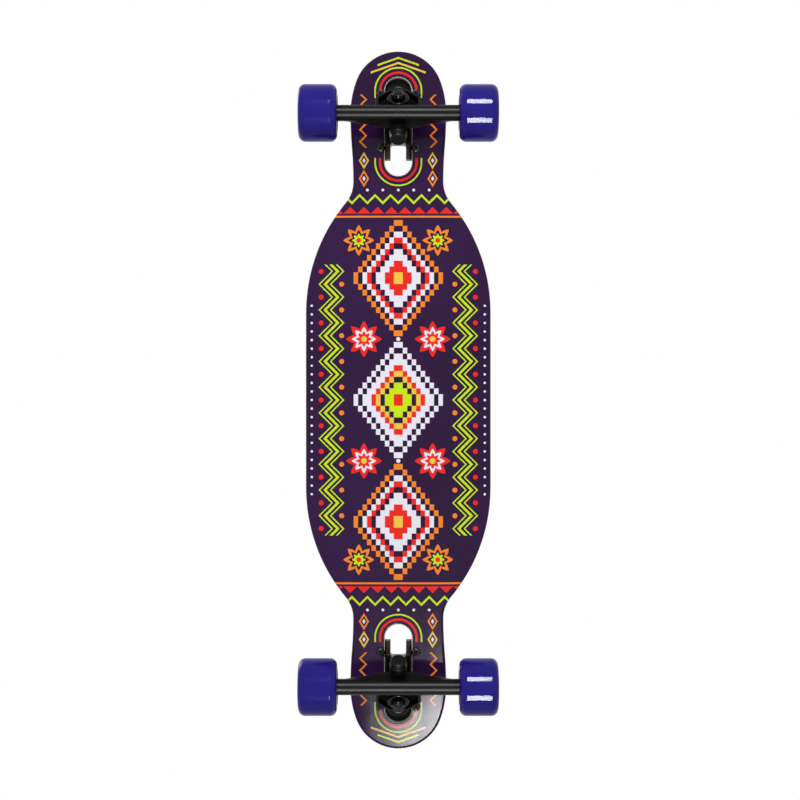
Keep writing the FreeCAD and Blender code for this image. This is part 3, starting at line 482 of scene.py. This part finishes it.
core_finish = mottled("black_core_finish", paint(20, 19, 24), paint(30, 28, 36), (0.35, 0.5), 0.4)
rubber_finish = mottled("soft_urethane_finish", paint(17, 17, 18), paint(27, 27, 28), (0.5, 0.65),
                        0.35)
oxide_finish = mottled("dark_steel_finish", paint(24, 24, 26), paint(38, 38, 40), (0.16, 0.26),
                       0.5, metallic=1.0, lumps=700)
plated_finish = mottled("plated_steel_finish", paint(46, 46, 48), paint(62, 62, 64), (0.14, 0.24),
                        0.5, metallic=1.0, lumps=700)
zinc_finish = mottled("bright_steel_finish", paint(150, 151, 153), paint(182, 183, 184),
                      (0.24, 0.38), 0.5, metallic=1.0, lumps=500)
race_finish = mottled("bearing_steel_finish", paint(168, 170, 173), paint(196, 197, 199),
                      (0.12, 0.22), 0.5, metallic=1.0, lumps=400, bump=0.02)
nylon_finish = mottled("nylon_finish", paint(62, 62, 66), paint(78, 78, 82), (0.4, 0.5), 0.3)
print("plastic, rubber and steel ready")

# %% [markdown]
# Each CAD node takes the finish of what it is made of. The words in a node's name say what it
# is, so a short list of endings covers all four wheels and both trucks.

# %% Dress the CAD nodes
DRESS = (
    ("grip_tape", grip_finish), ("deck", deck_finish), ("wheel_core", core_finish),
    ("bearing_cages", core_finish), ("wheel", wheel_finish), ("axle_nuts", oxide_finish),
    ("axle", zinc_finish), ("speed_washers", zinc_finish), ("bearing_spacers", zinc_finish),
    ("bearing_shields", race_finish), ("rings", race_finish), ("balls", race_finish),
    ("hanger", coat_finish), ("baseplate", coat_finish), ("bushing", rubber_finish),
    ("pivot_cup", rubber_finish), ("washer", oxide_finish), ("nut", oxide_finish),
    ("nuts", oxide_finish), ("bolts", oxide_finish), ("kingpin", oxide_finish),
)


def dress(piece, finish):
    piece.data.materials.clear()
    piece.data.materials.append(finish)


for name, node in frame["nodes"].items():
    dress(node, next(finish for ending, finish in DRESS if name.endswith(ending)))
print("dressed:", len(frame["nodes"]))

# %% [markdown]
# New pieces are made upright at the origin and then put in place by a matrix. Two places on a
# truck lean: one along its kingpin, and one along the axis that its hanger steers about. Most
# new pieces ride on a body of the part, so that they move when a joint does; the bushings ride on
# none.

# %% Places on the trucks
ENDS = {"front": 1, "rear": -1}
KINGPIN_LEAN = math.radians(45)
KINGPIN_TO_STEERING = math.radians(-90)


def kingpin_place(end_name):
    """The middle of a truck's bushing ring, with Z up along the kingpin."""
    joint = next(j for j in frame["joints"] if j["name"] == end_name + "_truck_steer")
    half_turn = Matrix.Rotation(0 if ENDS[end_name] > 0 else math.pi, 4, "Z")
    lean = Matrix.Rotation(KINGPIN_LEAN, 4, "X")
    return Matrix.Translation(joint["pos_m"]) @ half_turn @ lean


def steering_place(end_name):
    """The middle of a truck's bushing ring, with Z up along the steering axis."""
    return kingpin_place(end_name) @ Matrix.Rotation(KINGPIN_TO_STEERING, 4, "X")


def new_piece(name, mesh, finish, body):
    """Put a finished mesh in the scene, riding on a body."""
    piece = bpy.data.objects.new(name, mesh)
    bpy.context.scene.collection.objects.link(piece)
    dress(piece, finish)
    if body:
        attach(piece, body)
    return piece


print("trucks with places:", ", ".join(ENDS))

# %% [markdown]
# The boss round each pivot cup is drawn out a little, so that from below it covers the wall
# behind. Seen from the steering place, its blunt end is the part that lies furthest down and
# near the axis.

# %% Pivot bosses
BOSS_END_FROM = -0.0477
BOSS_RADIUS = 0.0092
BOSS_EXTRA = 0.0035


def draw_out_boss(work, place):
    """Lengthen the pivot boss: its blunt end is drawn out along the steering axis."""
    unturn = place.inverted()
    end_spots = []
    for spot in work.verts:
        local = unturn @ spot.co
        if local.z < BOSS_END_FROM and local.xy.length < BOSS_RADIUS:
            end_spots.append(spot)
    shift = place.to_3x3() @ Vector((0, 0, -BOSS_EXTRA))
    bmesh.ops.translate(work, verts=end_spots, vec=shift)
    print("boss points drawn out:", len(end_spots))


print("boss tool ready")

# %% [markdown]
# Castings have no sharp corners: metal won't fill them, and the mould is eased so that the part
# comes out. The CAD hanger and baseplate are copied and welded, turned into fine voxels, and
# smoothed, which rounds every edge and fills every inner corner, as in a casting.

# %% Castings
WELD = 0.000002
VOXEL = 0.0006
EASE_ROUNDS = 8


def soft_casting(node, body, boss_place=None):
    """Put a copy with eased edges in the place of a CAD casting."""
    mesh = bpy.data.meshes.new(node + "_cast")
    work = bmesh.new()
    work.from_mesh(frame["nodes"][node].data)
    bmesh.ops.remove_doubles(work, verts=work.verts, dist=WELD)
    if boss_place:
        draw_out_boss(work, boss_place)
    work.to_mesh(mesh)
    work.free()
    piece = new_piece(node + "_cast", mesh, coat_finish, body)
    voxels = piece.modifiers.new("voxels", "REMESH")
    voxels.mode = "VOXEL"
    voxels.voxel_size = VOXEL
    voxels.use_smooth_shade = True
    ease = piece.modifiers.new("ease", "SMOOTH")
    ease.factor = 0.5
    ease.iterations = EASE_ROUNDS
    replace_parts(piece, node)


for end_name in ENDS:
    soft_casting(f"{end_name}_hanger", f"{end_name}_hanger")
    soft_casting(f"{end_name}_baseplate", "deck", steering_place(end_name))
print("castings softened: 4")

# %% [markdown]
# Small turned pieces start as an outline of radius and height, spun once about Z. Sizes are in
# millimetres, as on a drawing. An outline that starts and ends on the axis stays open there,
# because the spin closes it at the poles.

# %% Spun pieces
CREASE = math.radians(35)


def to_mesh(work, name):
    """Close off a bmesh: merged seams, outward faces, smooth sides and sharp corners."""
    bmesh.ops.remove_doubles(work, verts=work.verts, dist=WELD)
    bmesh.ops.recalc_face_normals(work, faces=work.faces)
    for face in work.faces:
        face.smooth = True
    for edge in work.edges:
        edge.smooth = edge.calc_face_angle(0) < CREASE
    mesh = bpy.data.meshes.new(name)
    work.to_mesh(mesh)
    work.free()
    return mesh


def spun(name, outline, round_width=0.0, steps=64):
    """An outline of (radius, height) turned once about Z, its corners rounded by a width."""
    work = bmesh.new()
    corners = [work.verts.new((r / 1000, 0, z / 1000)) for r, z in outline]
    sides = [work.edges.new(pair) for pair in zip(corners, corners[1:])]
    if outline[0][0] > 0:
        sides.append(work.edges.new((corners[-1], corners[0])))
    bmesh.ops.spin(work, geom=corners + sides, cent=(0, 0, 0), axis=(0, 0, 1),
                   angle=math.tau, steps=steps, use_merge=True)
    bmesh.ops.remove_doubles(work, verts=work.verts, dist=WELD)
    if round_width:
        sharp = [edge for edge in work.edges if edge.calc_face_angle(0) > CREASE]
        bmesh.ops.bevel(work, geom=sharp, offset=round_width / 1000, offset_type="OFFSET",
                        affect="EDGES", segments=3, profile=0.5, material=-1)
    return to_mesh(work, name)


def at_places(name, shape, places):
    """One mesh with a copy of a shape at each place."""
    work = bmesh.new()
    for place in places:
        first = len(work.verts)
        work.from_mesh(shape)
        work.verts.ensure_lookup_table()
        bmesh.ops.transform(work, matrix=place, verts=work.verts[first:])
    mesh = bpy.data.meshes.new(name)
    work.to_mesh(mesh)
    work.free()
    return mesh


print("turning ready")

# %% [markdown]
# Bushings are the springs of a truck: two soft rings on the kingpin that the hanger squeezes
# when the rider leans. One end of each is held by the board's side and the other turns with the
# hanger; here each is only spun and set on its kingpin, riding on neither body.

# %% Bushings
HELD_END = 0.0168
TURNING_END = 0.0028
BARREL = [(5.2, 2.8), (11.4, 2.8), (12, 4.2), (12.25, 9.8), (12, 15.4), (11.4, 16.8), (5.2, 16.8)]
CONE = [(5.2, -16.8), (9.3, -16.8), (9.9, -15.2), (11.9, -7.2), (12.2, -5), (11.6, -2.8),
        (5.2, -2.8)]
for end_name in ENDS:
    stand = kingpin_place(end_name)
    for side, outline, held, turning in (("boardside", BARREL, HELD_END, TURNING_END),
                                         ("roadside", CONE, -HELD_END, -TURNING_END)):
        node = f"{end_name}_{side}_bushing"
        mesh = spun(node + "_soft", outline, 0.5)
        mesh.transform(stand)
        piece = new_piece(node + "_soft", mesh, rubber_finish, None)
        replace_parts(piece, node)
        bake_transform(piece)
print("bushings made: 4")

# %% [markdown]
# The pivot cup is the soft socket at the foot of the steering axis. Only its rim shows, so it
# gets a rounded lip.

# %% Pivot cups
CUP = [(0, -50.7), (5, -50.6), (7, -49.4), (7, -38.9), (6.6, -38.5), (5.6, -38.5), (5.2, -39),
       (5.2, -44), (4.5, -46.6), (2.6, -48.5), (0, -49.15)]
for end_name in ENDS:
    node = f"{end_name}_pivot_cup"
    mesh = spun(node + "_soft", CUP)
    mesh.transform(steering_place(end_name))
    piece = new_piece(node + "_soft", mesh, rubber_finish, "deck")
    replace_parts(piece, node)
print("pivot cups made: 2")

# %% [markdown]
# Nuts and bolts mix round and six-sided shapes. Each is built as a stack of rings with the same
# number of points: a ring is drawn out into the next one, and where a round ring meets one that
# has been pulled out to a hexagon, the two are bridged.

# %% Rings for nuts and bolts
RING_STEPS = 48


def rim_of(spots):
    """The edges that run between these vertices."""
    inside = set(spots)
    found = (edge for spot in spots for edge in spot.link_edges if edge.other_vert(spot) in inside)
    return list(dict.fromkeys(found))


def only_verts(geometry):
    return [item for item in geometry if isinstance(item, bmesh.types.BMVert)]


def round_ring(work, radius, z):
    spots = bmesh.ops.create_circle(work, segments=RING_STEPS, radius=radius / 1000)["verts"]
    bmesh.ops.translate(work, verts=spots, vec=(0, 0, z / 1000))
    return rim_of(spots)


def hex_ring(work, flats, z, slope=0.0):
    """A round ring pulled out to a hexagon, its corners lifted or sunk as by a chamfer."""
    rim = round_ring(work, flats / 2, z)
    for spot in dict.fromkeys(spot for edge in rim for spot in edge.verts):
        from_flat = math.atan2(spot.co.y, spot.co.x) % (math.pi / 3) - math.pi / 6
        reach = 1 / math.cos(from_flat)
        spot.co.xy *= reach
        spot.co.z += slope * (reach - 1) * flats / 2000
    return rim


def draw_out(work, rim, steps):
    """Draw a round ring out through each (radius, height) in turn."""
    for radius, z in steps:
        spots = only_verts(bmesh.ops.extrude_edge_only(work, edges=rim)["geom"])
        size = radius / 1000 / spots[0].co.xy.length
        lift = z / 1000 - spots[0].co.z
        bmesh.ops.scale(work, verts=spots, vec=(size, size, 1))
        bmesh.ops.translate(work, verts=spots, vec=(0, 0, lift))
        rim = rim_of(spots)
    return rim


def bridge(work, first, second):
    bmesh.ops.bridge_loops(work, edges=first + second)


def cap(work, rim):
    bmesh.ops.edgeloop_fill(work, edges=rim)


print("ring helpers ready")

# %% [markdown]
# A screw thread is a small ridge that climbs as it goes round, which is a spin with a rise per
# step. It shows where a bolt's end stands out of its nut.

# %% Screw threads
def thread(work, radius, ridge, pitch, low, high):
    turns = (high - low) / pitch
    steps = round(turns * 24)
    lip = ((radius - 0.05, -0.4 * pitch), (radius + ridge, 0), (radius - 0.05, 0.4 * pitch))
    corners = [work.verts.new((r / 1000, 0, (low + z) / 1000)) for r, z in lip]
    sides = [work.edges.new((corners[i - 1], corners[i])) for i in range(3)]
    rise = (high - low) / steps / 1000
    bmesh.ops.spin(work, geom=corners + sides, cent=(0, 0, 0), axis=(0, 0, 1), dvec=(0, 0, rise),
                   angle=math.tau * turns, steps=steps)
    open_ends = [edge for edge in work.edges if edge.is_boundary]
    bmesh.ops.holes_fill(work, edges=open_ends, sides=3)


print("thread ready")

# %% [markdown]
# Lock nuts hold everything: a chamfered hexagon with a round collar, and in the collar a ring
# of nylon that grips the thread. The ring is a piece of its own, because it is another material.

# %% Lock nuts
CHAMFER = 0.1
CHAMFER_SLOPE = 0.5
INSET = 0.15
NYLON_WALL = 0.9
NYLON_DEPTH = 0.6


def lock_nut(name, flats, hexagon, collar, bore):
    """A nut from its width across flats, its hexagon's and collar's heights, and its bore."""
    work = bmesh.new()
    hole = round_ring(work, bore / 2, 0)
    seat = draw_out(work, hole, [(flats / 2 - INSET, 0)])
    low = hex_ring(work, flats, CHAMFER, CHAMFER_SLOPE)
    bridge(work, seat, low)
    high = hex_ring(work, flats, hexagon - CHAMFER, -CHAMFER_SLOPE)
    bridge(work, low, high)
    foot = round_ring(work, flats / 2 - INSET, hexagon)
    bridge(work, high, foot)
    top = hexagon + collar
    shoulder = flats / 2 - 0.3
    grip = bore / 2 + NYLON_WALL
    outside = [(shoulder, hexagon + 0.1), (shoulder, top - 0.9), (shoulder - 0.3, top - 0.3),
               (shoulder - 0.8, top)]
    inside = [(grip, top), (grip, top - NYLON_DEPTH), (bore / 2, top - NYLON_DEPTH)]
    lip = draw_out(work, foot, outside + inside)
    bridge(work, lip, hole)
    return to_mesh(work, name)


def nylon_ring(name, hexagon, collar, bore):
    """The ring that lies in a nut's collar."""
    top = hexagon + collar
    inner = bore / 2 + 0.02
    grip = bore / 2 + NYLON_WALL
    outline = [(inner, top - NYLON_DEPTH), (grip, top - NYLON_DEPTH), (grip, top - 0.15),
               (bore / 2 + 0.6, top - 0.05), (inner, top - 0.25)]
    return spun(name, outline, steps=RING_STEPS)


def fit_nuts(node, body, finish, sizes, places):
    nut = at_places(node + "_turned", lock_nut(node + "_one", *sizes), places)
    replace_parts(new_piece(node + "_turned", nut, finish, body), node)
    ring = at_places(node + "_rings", nylon_ring(node + "_ring", *sizes[1:]), places)
    new_piece(node + "_rings", ring, nylon_finish, body)


print("nut tools ready")

# %% [markdown]
# Each truck has seven lock nuts: four under the deck, one on the kingpin's washer and one at
# either end of the axle. A nut is made with its seat at the origin and its collar up, so the
# nuts that hang are turned upside down first.

# %% Fit the nuts
AXLE_Y = 0.325
AXLE_Z = 0.0325
BOLT_ACROSS = 0.02065
BOLT_ALONG = 0.03175
UPSIDE_DOWN = Matrix.Rotation(math.pi, 4, "X")


def bolt_spots(end, z):
    """The four places of a truck's bolts, at a height."""
    return [Matrix.Translation((BOLT_ACROSS * i, AXLE_Y * end + BOLT_ALONG * j, z))
            for i in (1, -1) for j in (1, -1)]


def axle_spot(end, side, station):
    """A place on an axle, a distance out from its middle, with Z pointing outward."""
    spot = Matrix.Translation((station * side, AXLE_Y * end, AXLE_Z))
    return spot @ Matrix.Rotation(math.radians(90 * side), 4, "Y")


KINGPIN_FLATS = 14.3
MOUNTING_NUT = (9.5, 4, 2, 4.85)
KINGPIN_NUT = (KINGPIN_FLATS, 4.5, 1.8, 10)
AXLE_NUT = (12.7, 5, 2, 8)
WASHER_FACE = -0.0184
AXLE_NUT_AT = 0.101
SIDES = {"right": 1, "left": -1}
for end_name, end in ENDS.items():
    under = [spot @ UPSIDE_DOWN for spot in bolt_spots(end, DECK_UNDER)]
    fit_nuts(f"{end_name}_mounting_nuts", "deck", plated_finish, MOUNTING_NUT, under)
    on_washer = kingpin_place(end_name) @ Matrix.Translation((0, 0, WASHER_FACE)) @ UPSIDE_DOWN
    fit_nuts(f"{end_name}_kingpin_nut", "deck", oxide_finish, KINGPIN_NUT, [on_washer])
    outward = [axle_spot(end, side, AXLE_NUT_AT) for side in SIDES.values()]
    fit_nuts(f"{end_name}_axle_nuts", f"{end_name}_hanger", oxide_finish, AXLE_NUT, outward)
print("lock nuts made: 14")

# %% [markdown]
# The mounting bolts drop through from the top, with low round heads and a six-sided socket for
# the key. They end in a thread with a small chamfer.

# %% Mounting bolt
CROWN = 2.8
KEY_DEPTH = 1.8


def socket_bolt(name):
    work = bmesh.new()
    thread(work, radius=2.15, ridge=0.24, pitch=0.8, low=-23.2, high=-17)
    key = hex_ring(work, 3.2, CROWN)
    crown = round_ring(work, 3, CROWN)
    bridge(work, key, crown)
    floor_spots = only_verts(bmesh.ops.extrude_edge_only(work, edges=key)["geom"])
    bmesh.ops.translate(work, verts=floor_spots, vec=(0, 0, -KEY_DEPTH / 1000))
    cap(work, rim_of(floor_spots))
    head = [(3.8, 2.55), (4.4, 2.05), (4.7, 1.3), (4.7, 0.2), (4.5, 0), (2.4, 0)]
    shank = [(2.4, -16.6), (2.15, -16.9), (2.15, -23.2), (1.7, -23.6)]
    end = draw_out(work, crown, head + shank)
    cap(work, end)
    return to_mesh(work, name)


print("mounting bolt ready")

# %% [markdown]
# The kingpin is a plain hexagon bolt, head up in the baseplate, with its thread in the nut below.
# With it, all bolts can be put in place.

# %% Kingpin, and all bolts in place
HEAD_SEAT = 29.8
HEAD_TOP = 35.8


def hex_bolt(name):
    work = bmesh.new()
    thread(work, radius=4.5, ridge=0.38, pitch=1.27, low=-24.8, high=-17)
    neck = round_ring(work, 4.9, HEAD_SEAT)
    under = hex_ring(work, KINGPIN_FLATS, HEAD_SEAT)
    bridge(work, neck, under)
    upper = hex_ring(work, KINGPIN_FLATS, HEAD_TOP - CHAMFER, -CHAMFER_SLOPE)
    bridge(work, under, upper)
    crown = round_ring(work, 7, HEAD_TOP)
    bridge(work, upper, crown)
    cap(work, crown)
    end = draw_out(work, neck, [(4.9, -16), (4.5, -16.4), (4.5, -24.9), (3.9, -25.4)])
    cap(work, end)
    return to_mesh(work, name)


FLANGE_TOP = 0.1045
KINGPIN_TURN = Matrix.Rotation(math.radians(30), 4, "Z")
for end_name, end in ENDS.items():
    node = f"{end_name}_mounting_bolts"
    bolts = at_places(node + "_turned", socket_bolt(node + "_one"), bolt_spots(end, FLANGE_TOP))
    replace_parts(new_piece(node + "_turned", bolts, oxide_finish, "deck"), node)
    node = f"{end_name}_kingpin"
    pin = hex_bolt(node + "_turned")
    pin.transform(kingpin_place(end_name) @ KINGPIN_TURN)
    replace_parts(new_piece(node + "_turned", pin, oxide_finish, "deck"), node)
print("bolts made: 10")

# %% [markdown]
# Bearing shields are pressed from thin sheet: a raised band stiffens the disc, and its rim is
# rolled into the outer ring. Each wheel has four, facing out from its two bearings.

# %% Bearing shields
SHIELD = [(6.17, 0.05), (6.6, 0.05), (6.9, -0.12), (8, -0.12), (8.3, 0.05), (8.6, 0.05),
          (8.8, -0.05), (9.03, 0.05), (9.03, 0.3), (8.2, 0.3), (7.9, 0.12), (7, 0.12),
          (6.7, 0.3), (6.17, 0.3)]
SHIELD_STATIONS = ((0.0763, 1), (0.0827, -1), (0.0933, 1), (0.0997, -1))
for end_name, end in ENDS.items():
    for side_name, side in SIDES.items():
        node = f"{end_name}_{side_name}_bearing_shields"
        places = [axle_spot(end, side, station) @ (Matrix() if way > 0 else UPSIDE_DOWN)
                  for station, way in SHIELD_STATIONS]
        shields = at_places(node + "_pressed", spun(node + "_one", SHIELD), places)
        body = frame["nodes"][node]["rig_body"]
        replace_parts(new_piece(node + "_pressed", shields, race_finish, body), node)
print("shields made: 16")

# %% [markdown]
# The stage: a white room. The wheels stand on a wide floor that is no part of the board.

# %% Floor
FLOOR_REACH = 8
floor_mesh = bpy.data.meshes.new("floor")
work = bmesh.new()
bmesh.ops.create_grid(work, x_segments=1, y_segments=1, size=FLOOR_REACH)
work.to_mesh(floor_mesh)
work.free()
floor = bpy.data.objects.new("floor", floor_mesh)
bpy.context.scene.collection.objects.link(floor)
print("floor laid")

# %% [markdown]
# The floor shows only to a camera above it, so that the view from below sees the board and
# white all round. Near the board it is matt and takes its shadow, and further out it fades to
# the white of the room. Every other ray goes straight through it.

# %% Floor finish
FADE_GAIN = 1.2
FADE_START = -0.55
floor_finish, tree, shader = new_finish("pale_floor", (0.88, 0.88, 0.88, 1), 0.9, 0.0)
rays = add_node(tree, "LightPath")
facing_side = add_node(tree, "NewGeometry")
seen = Measure(tree, facing_side.outputs["Backfacing"]) * -1 + 1
seen = seen * Measure(tree, rays.outputs["Is Camera Ray"])
clear = add_node(tree, "BsdfTransparent")
white = add_node(tree, "Emission")
spot = add_node(tree, "TexCoord")
length = add_node(tree, "VectorMath", operation="LENGTH")
tree.links.new(spot.outputs["Object"], length.inputs[0])
fade = add_node(tree, "MixShader")
from_middle = Measure(tree, length.outputs["Value"])
far = from_middle.work("MULTIPLY_ADD", FADE_GAIN, FADE_START, clamp=True)
tree.links.new(far.socket, fade.inputs[0])
tree.links.new(shader.outputs[0], fade.inputs[1])
tree.links.new(white.outputs[0], fade.inputs[2])
show = add_node(tree, "MixShader")
tree.links.new(seen.socket, show.inputs[0])
tree.links.new(clear.outputs[0], show.inputs[1])
tree.links.new(fade.outputs[0], show.inputs[2])
tree.links.new(show.outputs[0], tree.nodes["Material Output"].inputs["Surface"])
dress(floor, floor_finish)
print("floor nodes:", len(tree.nodes))

# %% [markdown]
# The room's white is what the camera and the reflections see. What lights the board evenly
# from all round is a dimmer grey, so that the lamps can still shape it.

# %% Room
ROOM_GREY = 0.42
room = bpy.data.worlds.new("white_room")
bpy.context.scene.world = room
room.use_nodes = True
tree = room.node_tree
soft_grey = tree.nodes["Background"]
soft_grey.inputs["Color"].default_value = (1, 1, 1, 1)
soft_grey.inputs["Strength"].default_value = ROOM_GREY
bright = add_node(tree, "Background")
bright.inputs["Strength"].default_value = 1.0
bright.inputs["Color"].default_value = (1, 1, 1, 1)
rays = add_node(tree, "LightPath")
shown = Measure(tree, rays.outputs["Is Camera Ray"])
shown = shown.work("MAXIMUM", Measure(tree, rays.outputs["Is Glossy Ray"]))
shown = shown.work("MAXIMUM", Measure(tree, rays.outputs["Is Transmission Ray"]))
choice = add_node(tree, "MixShader")
tree.links.new(shown.socket, choice.inputs[0])
tree.links.new(soft_grey.outputs[0], choice.inputs[1])
tree.links.new(bright.outputs[0], choice.inputs[2])
tree.links.new(choice.outputs[0], tree.nodes["World Output"].inputs["Surface"])
print("room lit")

# %% [markdown]
# Two kinds of lamp light the board. Fills are broad and soft: they shade it, but don't show in
# its gloss. Glints are far off and bright, and show only as reflections: a white bar on a
# wheel's tread, a long line on an axle tube, a sheen on the tail. Two lamps above serve views
# of the top.

# %% Lamps
def softbox(name, spot, aim, width, tall, glow, shades=True, glints=True):
    """An oblong lamp at spot that faces aim. Glow is how bright its face is."""
    lamp = bpy.data.lights.new(name, "AREA")
    lamp.shape = "RECTANGLE"
    lamp.size = width
    lamp.size_y = tall
    lamp.energy = glow * math.pi * width * tall
    stand = bpy.data.objects.new(name, lamp)
    bpy.context.scene.collection.objects.link(stand)
    stand.location = spot
    toward = Vector(aim) - Vector(spot)
    stand.rotation_euler = toward.to_track_quat("-Z", "Y").to_euler()
    stand.visible_camera = False
    stand.visible_diffuse = shades
    stand.visible_glossy = glints
    return stand


BOARD = (0, 0, 0.08)
softbox("nose_fill", (0.3, 1.5, -2.2), BOARD, 1.2, 1.2, 10, glints=False)
softbox("tail_fill", (-0.4, -1.2, -2.4), BOARD, 1.2, 1.2, 3, glints=False)
nose_glint = softbox("nose_glint", (-0.21, 7.6, -9.29), BOARD, 1.14, 3.6, 115, shades=False)
tail_glint = softbox("tail_glint", (-0.21, -7.17, -9.62), BOARD, 1.14, 4.2, 115, shades=False)
tail_sheen = softbox("tail_sheen", (-0.4, -1.79, -6), BOARD, 0.7, 0.84, 72, shades=False)
softbox("top_key", (-1.3, -1.4, 2.2), BOARD, 1.2, 1.2, 9, glints=False)
softbox("top_fill", (1.6, 0.9, 1.8), BOARD, 1.2, 1.2, 4)
print("lamps set: 7")

# %% [markdown]
# Light linking says which pieces a lamp reaches. The sheen is for the deck alone, and the two
# glints are kept off it, so that its lacquer doesn't turn white in low views.

# %% Light linking
def link_to_deck(lamps, state):
    """Let lamps light the deck alone (INCLUDE), or everything but the deck (EXCLUDE)."""
    receivers = bpy.data.collections.new("lamps_" + state.lower())
    receivers.objects.link(frame["nodes"]["deck"])
    receivers.collection_objects[0].light_linking.link_state = state
    for lamp in lamps:
        lamp.light_linking.receiver_collection = receivers


link_to_deck([tail_sheen], "INCLUDE")
link_to_deck([nose_glint, tail_glint], "EXCLUDE")
print("lamps linked: 3")

# %% [markdown]
# The camera looks straight up at the board from about two metres, nose at the top of the
# picture. A long lens keeps the trucks, which are nearer, from looking large.

# %% Camera
CAMERA_AWAY = 2.014
CAMERA_ASIDE = -0.002
camera = bpy.data.cameras.new("camera")
camera.sensor_width = 36
camera.lens = 77.8
eye = bpy.data.objects.new("camera", camera)
bpy.context.scene.collection.objects.link(eye)
eye.location = (CAMERA_ASIDE, 0, DECK_UNDER - CAMERA_AWAY)
eye.rotation_euler = (0, math.pi, 0)
bpy.context.scene.camera = eye
bpy.context.scene.view_settings.view_transform = "Standard"
print("camera placed")
